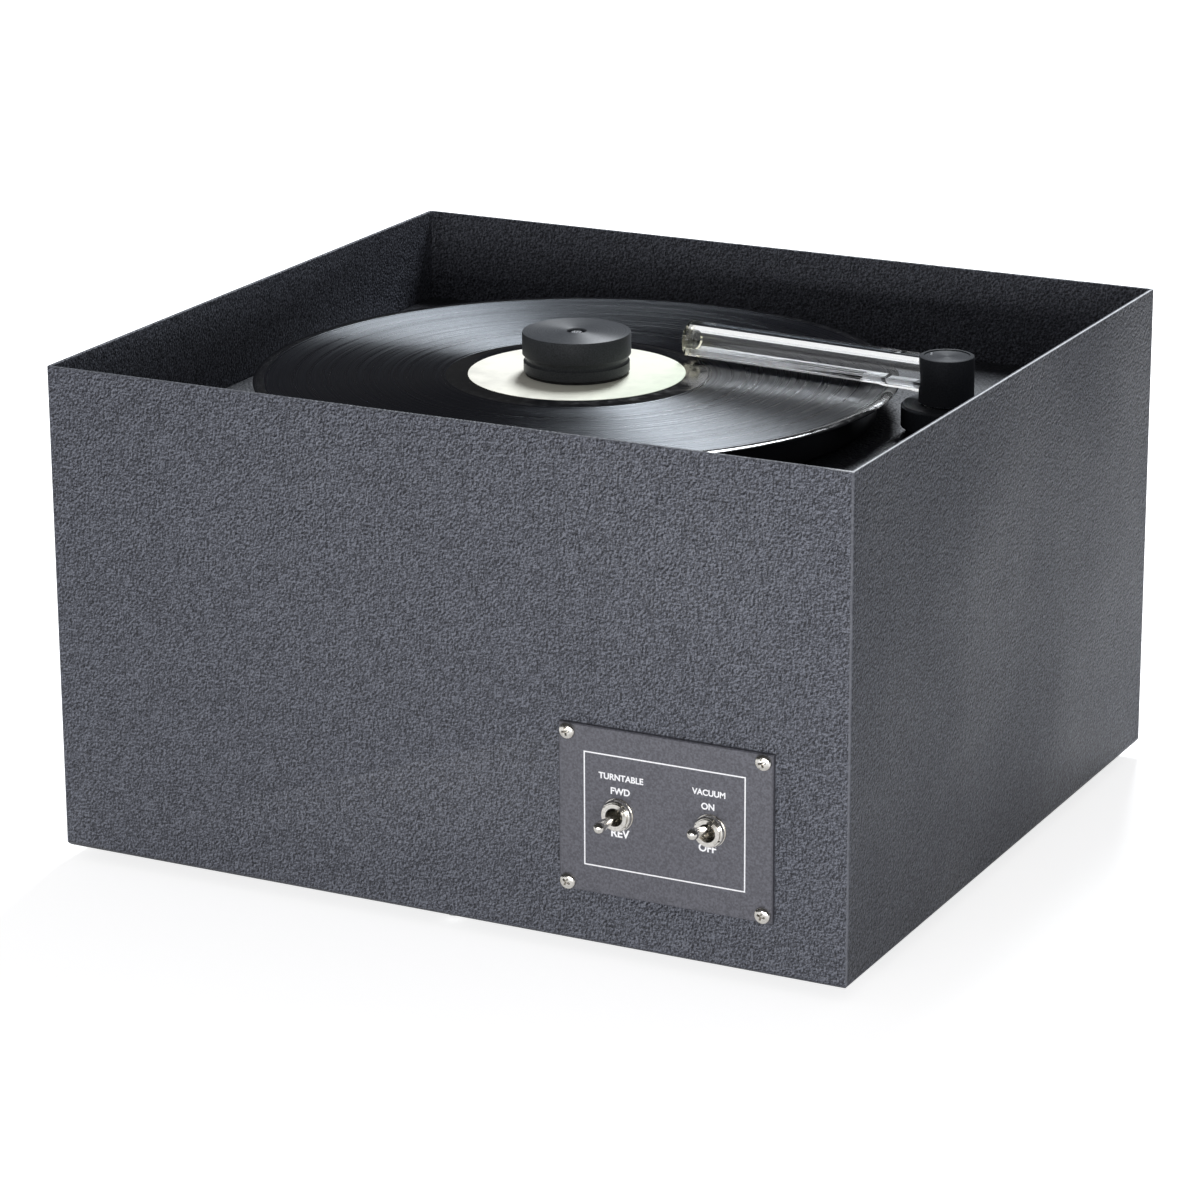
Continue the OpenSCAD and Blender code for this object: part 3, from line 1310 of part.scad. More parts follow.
// Wiring looms: sleeved bundles along the base and up to the motor, and a link between switches
loom_r = 2.5;
loom_bend = 8;
link_r = 1.2;
z_loom = z_case + loom_r + 0.2;
module wiring_loom() {
    tag_y = back_y - inlet_body_l - 6.2;
    tag_z = z_case + inlet_z - 10;
    low_y = tag_y - 20;
    lug_y = front_y + inner_nut_t + switch_l + lug_l / 2;
    lug_x = plate_x - switch_dx / 2;
    z_switch = z_case + plate_z;
    front_x = block_x + block_pitch / 2;
    motor_x = block_x + 1.5 * block_pitch;
    block_front = block_y - block_d / 2 - 0.2;
    turn_y = block_y - 50;
    z_lead = z_can + 8;
    color("#3a3d42") {
        // From the inlet's tags down to the terminal block
        bent_bar([[inlet_x, tag_y, tag_z], [inlet_x, low_y, tag_z], [inlet_x, low_y, z_loom],
                  [block_x - block_ways * block_pitch / 2 - 0.3, low_y, z_loom]], loom_r, loom_bend);
        // From the terminal block forward to the switches
        bent_bar([[front_x, block_front, z_loom], [front_x, lug_y, z_loom], [lug_x, lug_y, z_loom],
                  [lug_x, lug_y, z_switch - lug_dz - 0.7]], loom_r, loom_bend);
        translate([lug_x + 2.6, lug_y, z_switch]) rotate([0, 90, 0])
            cylinder(h = switch_dx - 5.2, r = link_r);
        // From the terminal block up to the gearmotor's can
        bent_bar([[motor_x, block_front, z_loom], [motor_x, turn_y, z_loom], [rotor_x, turn_y, z_loom],
                  [rotor_x, turn_y, z_lead], [rotor_x, spindle_y + can_r + 0.2, z_lead]],
                 loom_r, loom_bend);
    }
}

// Drain valve outside the case's back: a round body with a hose tail
valve_r = 10;
valve_l = 14;
plug_r = 4.2;
tail_wall = 1.75;
z_drain = z_case + drain_z;
module drain_valve() {
    color(brass) translate([tank_x, back_y, z_drain]) rotate([-90, 0, 0]) difference() {
        union() {
            cylinder(h = valve_l, r = valve_r);
            cylinder(h = valve_l + drain_l, r = drain_r);
            translate([0, -valve_r + 1, valve_l / 2]) rotate([90, 0, 0]) cylinder(h = 3, r = 5.5);
        }
        translate([0, 0, -cut]) cylinder(h = pipe_out + 0.3 + cut, r = drain_pipe_r + fit_gap);
        translate([0, 0, -cut]) cylinder(h = valve_l + drain_l + 2 * cut, r = drain_r - tail_wall);
        translate([0, 6, valve_l / 2]) rotate([90, 0, 0]) cylinder(h = 40, r = plug_r + run_gap);
    }
}

// The valve's lever: a plug drilled along its handle, shown shut
module valve_lever() {
    handle_l = 26;
    color(rubber) translate([tank_x, back_y + valve_l / 2, z_drain]) {
        difference() {
            translate([0, 0, -5.6]) cylinder(h = 5.6 + valve_r + 3.2, r = plug_r);
            rotate([0, 90, 0]) cylinder(h = 20, r = drain_r - tail_wall, center = true);
        }
        translate([0, 0, valve_r + 2.6]) linear_extrude(3) {
            circle(6);
            translate([0, -3.5]) square([handle_l - 3.5, 7]);
            translate([handle_l - 3.5, 0]) circle(3.5);
        }
    }
}

case_shell();
base_plate();
base_screws();
feet();
deck_plate();
deck_screws();
control_plate();
plate_screws();
toggle_switches();
switch_nuts();
turntable_lever();
vacuum_lever();
swivel_collar();
collar_gasket();
collar_nut();
float_spring();
thrust_washer();
swivel_post();
retaining_ring();
tube_set_screw();
vacuum_tube();
tube_plug();
velvet_lips();
suction_hose();
collection_tank();
tank_lid();
blower_hose();
blower_mount();
blower_frame();
blower_field();
blower_armature();
blower_impeller();
fan_housing();
blower_inlet();
gearbox_plates();
gearbox_pillars();
motor_screws();
motor_can();
motor_coil();
motor_rotor();
gear_cluster();
output_gear();
output_shaft();
spindle_hub();
spindle();
platter();
platter_mat();
record();
record_label();
clamp_knob();
clamp_washer();
power_inlet();
inlet_pins();
inlet_screws();
fuse_drawer();
terminal_block();
motor_capacitor();
wiring_loom();
drain_valve();
valve_lever();
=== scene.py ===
import math

import bmesh
import bpy
from mathutils import Matrix, Vector


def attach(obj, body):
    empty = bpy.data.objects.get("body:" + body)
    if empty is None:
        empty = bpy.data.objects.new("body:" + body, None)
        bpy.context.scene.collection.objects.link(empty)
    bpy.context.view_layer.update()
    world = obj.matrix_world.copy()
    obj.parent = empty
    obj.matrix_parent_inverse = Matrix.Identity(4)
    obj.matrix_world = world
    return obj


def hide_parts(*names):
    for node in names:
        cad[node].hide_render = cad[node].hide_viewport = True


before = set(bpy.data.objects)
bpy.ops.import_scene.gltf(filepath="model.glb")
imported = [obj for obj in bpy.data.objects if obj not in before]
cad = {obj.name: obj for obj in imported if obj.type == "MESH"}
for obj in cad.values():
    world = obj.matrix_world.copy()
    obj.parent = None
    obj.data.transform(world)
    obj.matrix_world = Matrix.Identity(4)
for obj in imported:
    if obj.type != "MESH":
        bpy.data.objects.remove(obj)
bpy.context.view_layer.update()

# Case, deck plate and base plate: folded and welded sheet steel in a charcoal powder coat.
# The coat is a coarse orange-peel skin. Its colour carries painted raking light and shade over
# the peel, and painted highlights along the case's edges, near white on the right wall's top rim.
# The deck plate has a darker copy of the coat, painted shade for the recess it lies in. The deck
# plate is screwed to ledges in the case, and the base plate to the flange below.
case_x, case_y, rim_z = 0.197, 0.177, 0.235
rim_round, edge_band = 0.0006, 0.0013


def finish(name, colour, rough, metal=0.0, **constants):
    """A material with one Principled shader, its constants on the shader's own sockets."""
    material = bpy.data.materials.new(name)
    material.use_nodes = True
    shader = material.node_tree.nodes["Principled BSDF"]
    shader.inputs["Base Color"].default_value = (*colour, 1)
    shader.inputs["Roughness"].default_value = rough
    shader.inputs["Metallic"].default_value = metal
    for key, value in constants.items():
        shader.inputs[key.replace("_", " ")].default_value = value
    return material, shader


def add(material, kind, inputs=None, **settings):
    """A node in the material's tree; an input is a value or another node's socket."""
    tree = material.node_tree
    node = tree.nodes.new("ShaderNode" + kind)
    for key, value in settings.items():
        setattr(node, key, value)
    for key, value in (inputs or {}).items():
        if isinstance(value, bpy.types.NodeSocket):
            tree.links.new(value, node.inputs[key])
        else:
            node.inputs[key].default_value = value
    return node


def place_of(material):
    """The socket of the point's own place on the object, in metres."""
    return add(material, "TexCoord").outputs["Object"]


def noise(material, scale, detail, **more):
    """The socket of a noise over the piece."""
    inputs = {"Vector": place_of(material), "Scale": scale, "Detail": detail, **more}
    return add(material, "TexNoise", inputs).outputs["Fac"]


def reckon(material, operation, first, second):
    """The socket of two values or sockets put together."""
    return add(material, "Math", {0: first, 1: second}, operation=operation).outputs[0]


def spread(material, value, start, end, low=0.0, high=1.0):
    """The socket of a value that runs from low to high while its input runs from start to end."""
    limits = {"From Min": start, "From Max": end, "To Min": low, "To Max": high}
    return add(material, "MapRange", {"Value": value, **limits}).outputs["Result"]


def ramp(material, factor, *stops):
    """The socket of a ramp over grey values or colours, from (position, value) pairs."""
    node = add(material, "ValToRGB", {"Fac": factor})
    band = node.color_ramp.elements
    while len(band) < len(stops):
        band.new(0.5)
    for element, (position, value) in zip(band, stops):
        element.position = position
        element.color = (*value, 1) if isinstance(value, tuple) else (value, value, value, 1)
    return node.outputs["Color"]


def feed(material, shader, **sockets):
    """Links sockets to the shader's inputs by name."""
    for key, socket in sockets.items():
        material.node_tree.links.new(socket, shader.inputs[key.replace("_", " ")])


def relief(material, shader, height, depth, strength=1.0):
    """Bump from a height socket, its depth in metres."""
    bump = add(material, "Bump", {"Height": height, "Distance": depth, "Strength": strength})
    feed(material, shader, Normal=bump.outputs["Normal"])


def dress(material, *names):
    """CAD nodes that keep their shape get this material."""
    for name in names:
        if not cad[name].material_slots:
            cad[name].data.materials.append(material)
        for slot in cad[name].material_slots:
            slot.material = material


def piece(name, bm, material, body, sharp=32):
    """A finished object from a bmesh, smooth but for its sharp edges, riding on its body."""
    mesh = bpy.data.meshes.new(name)
    bm.to_mesh(mesh)
    bm.free()
    mesh.materials.append(material)
    mesh.polygons.foreach_set("use_smooth", [True] * len(mesh.polygons))
    mesh.set_sharp_from_angle(angle=math.radians(sharp))
    obj = bpy.data.objects.new(name, mesh)
    bpy.context.scene.collection.objects.link(obj)
    if body:
        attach(obj, body)
    return obj


def coat_of(name, dark, middle, light):
    """A powder coat whose peel is painted lighter on one side of each bump and darker on the other, as
    raking light would show it, with painted highlights where two faces of the case meet.
    """
    coat, shader = finish(name, middle, 0.5, Specular_IOR_Level=0.28)
    where = place_of(coat)
    peel = {"Scale": 820, "Detail": 2, "Roughness": 0.6}
    crests = add(coat, "TexNoise", {"Vector": where, **peel}).outputs["Fac"]
    # Painted light and shade: the peel noise less the same noise a little aside gives its slope, and the
    # ramp paints that slope as the lit and shaded sides of each bump.
    beside = add(coat, "VectorMath", {0: where, 1: (0.00032, 0.00024, -0.00032)}, operation="ADD")
    peel_shifted = add(coat, "TexNoise", {"Vector": beside.outputs[0], **peel}).outputs["Fac"]
    painted_raking_light = spread(coat, reckon(coat, "SUBTRACT", crests, peel_shifted), -0.22, 0.22)
    skin = ramp(coat, painted_raking_light, (0.15, dark), (0.55, middle), (0.85, light))

    # Painted highlights: along the edges where two faces of the case meet the colour turns paler, and near
    # white on the right wall's top rim.
    apart = add(coat, "VectorMath", {0: where}, operation="ABSOLUTE").outputs[0]
    side = add(coat, "SeparateXYZ", {"Vector": apart}).outputs
    fade = 0.0007
    starts = (("X", case_x - edge_band), ("Y", case_y - edge_band), ("Z", rim_z - rim_round))
    near_x, near_y, near_rim = (spread(coat, side[axis], start, start + fade) for axis, start in starts)
    faces = reckon(coat, "ADD", reckon(coat, "ADD", near_x, near_y), near_rim)
    edge_highlight_mask = spread(coat, faces, 1.1, 1.9)
    right = spread(coat, add(coat, "SeparateXYZ", {"Vector": where}).outputs["X"], 0.18, 0.195)
    right_rim_highlight_mask = reckon(coat, "MULTIPLY", right, near_rim)
    painted_edge_highlight = ramp(coat, right_rim_highlight_mask, (0.1, (0.125, 0.13, 0.15)), (0.9, (0.90, 0.92, 0.96)))
    colour = add(coat, "MixRGB", {"Fac": edge_highlight_mask, "Color1": skin, "Color2": painted_edge_highlight}).outputs["Color"]
    gloss = ramp(coat, noise(coat, 9, 3), (0.35, 0.42), (0.65, 0.54))
    feed(coat, shader, Base_Color=colour, Roughness=gloss)

    cells = {"Vector": where, "Scale": 700, "Smoothness": 0.5}
    pits = add(coat, "TexVoronoi", cells, feature="SMOOTH_F1").outputs["Distance"]
    relief(coat, shader, reckon(coat, "SUBTRACT", crests, pits), 0.00045)
    return coat


powder = coat_of("charcoal_powder_coat",
                 (0.014, 0.0145, 0.019), (0.068, 0.072, 0.089), (0.142, 0.150, 0.180))
# Painted shade: the deck plate takes a darker copy of the coat, for the shade of the recess it lies in.
deck_painted_shade_coat = coat_of("deck_coat_painted_shade", (0.012, 0.0125, 0.015), (0.034, 0.036, 0.043), (0.07, 0.074, 0.086))
dress(powder, "base_plate")
dress(deck_painted_shade_coat, "deck_plate")
bm = bmesh.new()
bm.from_mesh(cad["case_shell"].data)
bmesh.ops.remove_doubles(bm, verts=bm.verts, dist=1e-6)
rim = [edge for edge in bm.edges if len(edge.link_faces) == 2
       and all(vert.co.z > rim_z - 1e-5 for vert in edge.verts)
       and edge.calc_face_angle() > math.radians(60)]
bmesh.ops.bevel(bm, geom=rim, offset=rim_round, segments=3, profile=0.5, affect="EDGES")
shell = piece("case_shell_coated", bm, powder, "chassis")
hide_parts("case_shell")

# Feet, clamp washer, collar gasket and blower mount: black rubber with a dull, dusty skin.
# The feet are held by sunk screws, the gasket seals the collar to the deck, and the mount is
# a ring that stands the blower on the base plate.
rubber, shader = finish("black_rubber", (0.022, 0.022, 0.023), 0.72)
dust = noise(rubber, 260, 4)
feed(rubber, shader,
     Base_Color=ramp(rubber, dust, (0.3, (0.014, 0.014, 0.015)), (0.8, (0.045, 0.045, 0.046))))
relief(rubber, shader, dust, 0.0001, 0.5)
dress(rubber, "feet", "collar_gasket", "clamp_washer", "blower_mount")

# Screws, nuts, gearbox plates, the motor's can and the fan's drum: zinc-plated steel.
# A thin bright passivate with faint cloudy patches and fine draw marks.
zinc, shader = finish("zinc_plate", (0.62, 0.63, 0.64), 0.32, 1.0)
cloud = noise(zinc, 60, 5)
feed(zinc, shader,
     Base_Color=ramp(zinc, cloud, (0.3, (0.50, 0.52, 0.54)), (0.7, (0.70, 0.70, 0.68))),
     Roughness=ramp(zinc, cloud, (0.3, 0.24), (0.8, 0.42)))
relief(zinc, shader, noise(zinc, 900, 2), 0.00003, 0.5)
dress(zinc, "base_screws", "deck_screws", "motor_screws", "collar_nut", "gearbox_plates", "motor_can",
      "fan_housing", "inlet_screws")

# Shafts, pillars, hub, spindle, retaining ring, thrust washer and float spring: machined
# steel. The turned surfaces have fine tool marks.
turned, shader = finish("machined_steel", (0.50, 0.51, 0.53), 0.28, 1.0)
mark = noise(turned, 1400, 2)
feed(turned, shader, Roughness=ramp(turned, mark, (0.3, 0.2), (0.7, 0.36)))
relief(turned, shader, mark, 0.00002, 0.6)
dress(turned, "output_shaft", "gearbox_pillars", "spindle_hub", "retaining_ring", "thrust_washer",
      "float_spring", "tube_set_screw", "spindle")

# Gears, the motor's rotor with its pinion, and the drain valve: brass, cut or turned, a
# little dulled by handling. The gears run between the two plates of the gearbox.
brass, shader = finish("cut_brass", (0.62, 0.45, 0.19), 0.3, 1.0)
tarnish = noise(brass, 90, 6, Roughness=0.65)
feed(brass, shader,
     Base_Color=ramp(brass, tarnish, (0.3, (0.42, 0.28, 0.11)), (0.62, (0.68, 0.50, 0.22))),
     Roughness=ramp(brass, tarnish, (0.3, 0.42), (0.7, 0.24)))
relief(brass, shader, tarnish, 0.00004, 0.5)
dress(brass, "gear_cluster", "output_gear", "motor_rotor", "drain_valve")

# Windings of the turntable's motor: enamelled copper wire, wound in layers round the bobbin
# inside the can.


def bands(material, scale, **more):
    """The socket of level bands, stacked up the piece."""
    inputs = {"Vector": place_of(material), "Scale": scale, **more}
    return add(material, "TexWave", inputs, bands_direction="Z").outputs["Fac"]


copper, shader = finish("enamelled_copper", (0.45, 0.16, 0.06), 0.35, 0.6)
wire = bands(copper, 700, Distortion=0.6, Detail=1)
feed(copper, shader, Base_Color=ramp(copper, wire, (0.1, (0.16, 0.05, 0.02)), (0.7, (0.55, 0.22, 0.09))))
relief(copper, shader, wire, 0.0002, 0.7)
dress(copper, "motor_coil")

# Field and armature of the blower: steel laminations, stacked and varnished. The armature is
# pressed on its shaft and turns inside the field, which the frame holds.
core, shader = finish("varnished_laminations", (0.12, 0.11, 0.10), 0.45, 0.7)
stack = bands(core, 320, Distortion=0.1)
feed(core, shader, Base_Color=ramp(core, stack, (0.15, (0.05, 0.045, 0.04)), (0.5, (0.20, 0.19, 0.18))))
relief(core, shader, stack, 0.0001, 0.6)
dress(core, "blower_field", "blower_armature")

# Blower frame, impeller, its inlet and the capacitor's can: cast and pressed aluminium, with
# the fine grain that sand and die leave.
cast, shader = finish("cast_aluminium", (0.60, 0.61, 0.63), 0.42, 1.0)
sand = noise(cast, 800, 4)
feed(cast, shader,
     Base_Color=ramp(cast, sand, (0.3, (0.48, 0.49, 0.51)), (0.7, (0.68, 0.69, 0.70))),
     Roughness=ramp(cast, sand, (0.3, 0.36), (0.7, 0.52)))
relief(cast, shader, sand, 0.00008, 0.6)
dress(cast, "blower_frame", "blower_impeller", "blower_inlet", "motor_capacitor")

# Collection tank and its lid: moulded off-white plastic, faintly flow-marked. The tank stands
# on the base plate, and the lid on it has a spigot for each of the two hoses.
tank_white, shader = finish("tank_plastic", (0.66, 0.67, 0.68), 0.4)
flow = noise(tank_white, 14, 4, Distortion=0.8)
feed(tank_white, shader,
     Base_Color=ramp(tank_white, flow, (0.3, (0.58, 0.60, 0.61)), (0.7, (0.70, 0.71, 0.70))))
relief(tank_white, shader, flow, 0.0002, 0.2)
dress(tank_white, "collection_tank", "tank_lid")

# Hoses and looms: extruded rubber hose pushed on its spigots, and wires in a braided sleeve,
# laid along the base and up to the motor. Both are dark grey.
hose, shader = finish("hose_rubber", (0.035, 0.035, 0.038), 0.6)
skin = noise(hose, 350, 3)
feed(hose, shader, Base_Color=ramp(hose, skin, (0.3, (0.022, 0.022, 0.025)), (0.75, (0.055, 0.056, 0.06))))
relief(hose, shader, skin, 0.0001, 0.4)
dress(hose, "suction_hose", "blower_hose")
sleeve, shader = finish("braided_sleeve", (0.05, 0.053, 0.06), 0.55)
threads = {"Color1": (0.03, 0.032, 0.037, 1), "Color2": (0.09, 0.094, 0.105, 1)}
braid = add(sleeve, "TexChecker", {"Vector": place_of(sleeve), "Scale": 900, **threads})
feed(sleeve, shader, Base_Color=braid.outputs["Color"])
relief(sleeve, shader, braid.outputs["Fac"], 0.0001, 0.6)
dress(sleeve, "wiring_loom")

# Terminal block: moulded cream plastic, standing on the base plate. The looms from the inlet,
# the switches and the gearmotor meet in it.
cream, shader = finish("cream_plastic", (0.70, 0.67, 0.58), 0.45)
grain = noise(cream, 500, 3)
feed(cream, shader, Base_Color=ramp(cream, grain, (0.3, (0.62, 0.59, 0.50)), (0.7, (0.74, 0.71, 0.62))))
relief(cream, shader, grain, 0.00005, 0.4)
dress(cream, "terminal_block")

# Platter and mat: a black anodised aluminium disc, turned all over, with a recess for the
# spindle's hub, and a disc of pressed cork on top of it.
spindle = Vector((-0.024, 0.005, 0.0))


def about(material, centre):
    """The sockets of the distance from a vertical axis and of the level offset from it."""
    off = add(material, "VectorMath", {0: place_of(material), 1: (-centre.x, -centre.y, 0)}, operation="ADD")
    level = add(material, "VectorMath", {0: off.outputs[0], 1: (1, 1, 0)}, operation="MULTIPLY").outputs[0]
    return add(material, "VectorMath", {0: level}, operation="LENGTH").outputs["Value"], level


def rings(material, radius, count, detail, **more):
    """The socket of uneven rings, about this many to the metre of radius."""
    inputs = {"W": reckon(material, "MULTIPLY", radius, count), "Scale": 1, "Detail": detail, **more}
    return add(material, "TexNoise", inputs, noise_dimensions="1D").outputs["Fac"]


anodised, shader = finish("black_anodised", (0.02, 0.02, 0.022), 0.34, 0.5)
radius, _ = about(anodised, spindle)
lathe_mark = rings(anodised, radius, 2600, 1)
feed(anodised, shader, Roughness=ramp(anodised, lathe_mark, (0.3, 0.26), (0.7, 0.42)))
relief(anodised, shader, lathe_mark, 0.00003, 0.7)
dress(anodised, "platter")
cork, shader = finish("pressed_cork", (0.36, 0.22, 0.12), 0.8)
crumb = add(cork, "TexVoronoi", {"Vector": place_of(cork), "Scale": 420, "Randomness": 1})
feed(cork, shader,
     Base_Color=ramp(cork, crumb.outputs["Color"], (0.15, (0.16, 0.085, 0.04)), (0.7, (0.46, 0.29, 0.16))))
relief(cork, shader, crumb.outputs["Distance"], 0.0002, 0.6)
dress(cork, "platter_mat")

# Record: pressed vinyl, with a raised rim and label and a grooved band between them.
# The grooves are too fine to model, so the shader stretches its gloss across them, and
# small changes of depth and gloss along the radius show the tracks.


def turn(name, profile, centre, material, body, segments=160, sharp=32):
    """A turned piece: (radius, height) points in metres, swept round a vertical axis."""
    bm = bmesh.new()
    hoops = []
    for r, z in profile:
        if r < 1e-7:
            hoops.append([bm.verts.new((centre.x, centre.y, z))])
        else:
            hoops.append([bm.verts.new((centre.x + r * math.cos(a), centre.y + r * math.sin(a), z))
                          for a in (2 * math.pi * i / segments for i in range(segments))])
    for low, high in zip(hoops, hoops[1:] + hoops[:1]):
        for i in range(segments):
            j = (i + 1) % segments
            if len(low) == 1 and len(high) == 1:
                break
            if len(low) == 1:
                bm.faces.new((low[0], high[j], high[i]))
            elif len(high) == 1:
                bm.faces.new((low[i], low[j], high[0]))
            else:
                bm.faces.new((low[i], low[j], high[j], high[i]))
    bmesh.ops.recalc_face_normals(bm, faces=bm.faces)
    return piece(name, bm, material, body, sharp)


def outward(material, level):
    """The socket of the way straight out from the axis, from the level offset."""
    return add(material, "VectorMath", {0: level}, operation="NORMALIZE").outputs[0]


record_low, record_high = 0.2069, 0.2089
hole_r, record_r = 0.00365, 0.1508
groove_in, last_groove, bead_in = 0.0548, 0.0612, 0.1468
bank, groove_drop = 0.001, 0.00025
plain_vinyl, shader = finish("plain_vinyl", (0.004, 0.004, 0.005), 0.12, IOR=1.55)
haze = noise(plain_vinyl, 300, 3)
feed(plain_vinyl, shader, Roughness=ramp(plain_vinyl, haze, (0.35, 0.08), (0.7, 0.2)))
relief(plain_vinyl, shader, haze, 0.00003, 0.5)
vinyl, shader = finish("grooved_vinyl", (0.003, 0.003, 0.005), 0.2, Anisotropic=0.97, IOR=1.46,
                       Specular_Tint=(0.78, 0.88, 1.0, 1))
radius, level = about(vinyl, spindle)
tracks = rings(vinyl, radius, 420, 3, Roughness=0.7)
feed(vinyl, shader, Tangent=outward(vinyl, level),
     Roughness=ramp(vinyl, tracks, (0.3, 0.22), (0.5, 0.32), (0.7, 0.46)))
grooves = reckon(vinyl, "MULTIPLY", rings(vinyl, radius, 3800, 1), 0.25)
relief(vinyl, shader, reckon(vinyl, "ADD", tracks, grooves), 0.0004)
bead = [(record_r - 0.0020, 0), (record_r - 0.0005, 0.0005), (record_r - 0.0002, 0.00068),
        (record_r, 0.00088)]
half = [(hole_r, 0), (groove_in - bank, 0), (groove_in, groove_drop), (bead_in - bank, groove_drop),
        (bead_in, 0), *bead]
under = [(r, record_low + z) for r, z in half]
over = [(r, record_high - z) for r, z in half]
over.insert(3, (last_groove, record_high - groove_drop))
record = turn("record_disc", under + over[::-1], spindle, vinyl, "platter", segments=384, sharp=25)
record.data.materials.append(plain_vinyl)
for face in record.data.polygons:
    reach = (face.center.xy - spindle.xy).length
    face.material_index = 0 if last_groove < reach < bead_in - bank else 1
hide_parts("record")

# Label: a disc of uncoated paper pressed into the vinyl, plain, cream and a little mottled,
# greener towards its right.
paper, shader = finish("label_paper", (0.80, 0.79, 0.62), 0.7)
across = spread(paper, add(paper, "SeparateXYZ", {"Vector": place_of(paper)}).outputs["X"], -0.05, 0.03)
tint = ramp(paper, across, (0.0, (0.93, 0.90, 0.80)), (0.6, (0.89, 0.89, 0.76)), (1.0, (0.78, 0.86, 0.68)))
stain = ramp(paper, noise(paper, 45, 6, Roughness=0.6), (0.32, 0.80), (0.55, 1.0))
mottled = add(paper, "MixRGB", {"Fac": 1.0, "Color1": tint, "Color2": stain}, blend_type="MULTIPLY")
feed(paper, shader, Base_Color=mottled.outputs["Color"])
relief(paper, shader, noise(paper, 1500, 2), 0.00004, 0.6)
label_r = 0.0508
label_low, label_high = record_high - 0.0001, record_high + 0.0002
label = turn("record_label_disc",
             [(hole_r, label_low), (label_r, label_low), (label_r, record_high + 0.00012),
              (label_r - 0.00008, label_high), (hole_r, label_high)],
             spindle, paper, "platter", segments=256)
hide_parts("record_label")

# Clamp: a knob turned from black plastic, threaded on the spindle, with a groove for the
# fingers above its foot. The washer under it grips the label.


def turned_plastic(name, dark, light, centre, rough, gleam):
    """Black plastic with tool marks round its axis, which stretch the gloss across them."""
    plastic, shader = finish(name, light, rough, Anisotropic=0.75, Specular_IOR_Level=gleam)
    reach, level = about(plastic, centre)
    tool = rings(plastic, reach, 1500, 2)
    feed(plastic, shader, Tangent=outward(plastic, level),
         Base_Color=ramp(plastic, noise(plastic, 1700, 2), (0.3, dark), (0.75, light)),
         Roughness=ramp(plastic, tool, (0.3, rough - 0.08), (0.7, rough + 0.08)))
    relief(plastic, shader, tool, 0.00006, 0.7)
    return plastic


matt = turned_plastic("clamp_plastic", (0.051, 0.054, 0.060), (0.090, 0.095, 0.104), spindle, 0.42, 0.18)
clamp_low, clamp_high, clamp_r = 0.2103, 0.2291, 0.0254
bore_r, mouth_r, mouth_depth = 0.00323, 0.0046, 0.0016
foot_r = clamp_r - 0.0006
finger_z, finger_r = clamp_low + 0.0062, 0.0017
finger_groove = [(clamp_r + 0.0002 - finger_r * math.cos(t), finger_z + finger_r * math.sin(t))
                 for t in (math.radians(-62 + 12 * i) for i in range(11))]
clamp = turn("clamp_knob_turned",
             [(bore_r, clamp_low), (foot_r - 0.0006, clamp_low), (foot_r, clamp_low + 0.0005),
              (foot_r, finger_z - 0.0016), *finger_groove,
              (clamp_r - 0.00045, finger_z + 0.00175), (clamp_r, finger_z + 0.0022),
              (clamp_r, clamp_high - 0.0008), (clamp_r - 0.00025, clamp_high - 0.0002),
              (clamp_r - 0.0008, clamp_high), (mouth_r + 0.0003, clamp_high), (mouth_r, clamp_high - 0.0003),
              (mouth_r, clamp_high - mouth_depth), (bore_r, clamp_high - mouth_depth)],
             spindle, matt, "clamp_knob", segments=192, sharp=28)
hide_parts("clamp_knob")

# Collar and swivel post: turned from black plastic. The collar is drawn down on the deck by
# its ring nut, and the post turns in it and carries the tube in a cross bore.
post = Vector((0.146, 0.0439, 0.0))
satin = turned_plastic("post_plastic", (0.024, 0.026, 0.031), (0.044, 0.047, 0.055), post, 0.6, 0.15)
dress(satin, "swivel_collar")
origin = Vector((0, 0, 0))
tube_z = 0.2174
tube_way = math.radians(175)


def shape(name, kept, tool):
    """One scratch object cut by another, as a new bmesh; both are removed."""
    modifier = kept.modifiers.new(name, "BOOLEAN")
    modifier.operation = "DIFFERENCE"
    modifier.solver = "EXACT"
    modifier.object = tool
    mesh = bpy.data.meshes.new_from_object(kept.evaluated_get(bpy.context.evaluated_depsgraph_get()))
    bm = bmesh.new()
    bm.from_mesh(mesh)
    for scratch in (kept, tool):
        bpy.data.objects.remove(scratch)
    bpy.data.meshes.remove(mesh)
    return bm


def lay(obj):
    """Turns a piece that was made upright at the origin to lie along the tube's axis at rest."""
    obj.data.transform(Matrix.Translation((post.x, post.y, tube_z)) @ Matrix.Rotation(tube_way, 4, "Z")
                       @ Matrix.Rotation(math.radians(90), 4, "Y"))
    return obj


post_r, post_top, post_low = 0.0127, tube_z + 0.010, 0.206
shank_r, shank_low = 0.009, 0.1837
dish_r, dish_z = post_r - 0.0021, post_top - 0.0005
uncut = turn("post_blank",
             [(0, shank_low), (shank_r, shank_low), (shank_r, post_low), (post_r, post_low),
              (post_r, post_top - 0.0010), (post_r - 0.0003, post_top - 0.0003),
              (post_r - 0.0010, post_top), (dish_r, post_top), (dish_r, dish_z), (0, dish_z)],
             post, satin, None)
socket_r, socket_in, socket_out = 0.0091, 0.0068, 0.03
socket = turn("post_bore", [(0, socket_in), (socket_r, socket_in), (socket_r, socket_out), (0, socket_out)],
              origin, satin, None, segments=96)
swivel = piece("swivel_post_turned", shape("socket", uncut, lay(socket)), satin, "tube_arm")
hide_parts("swivel_post")

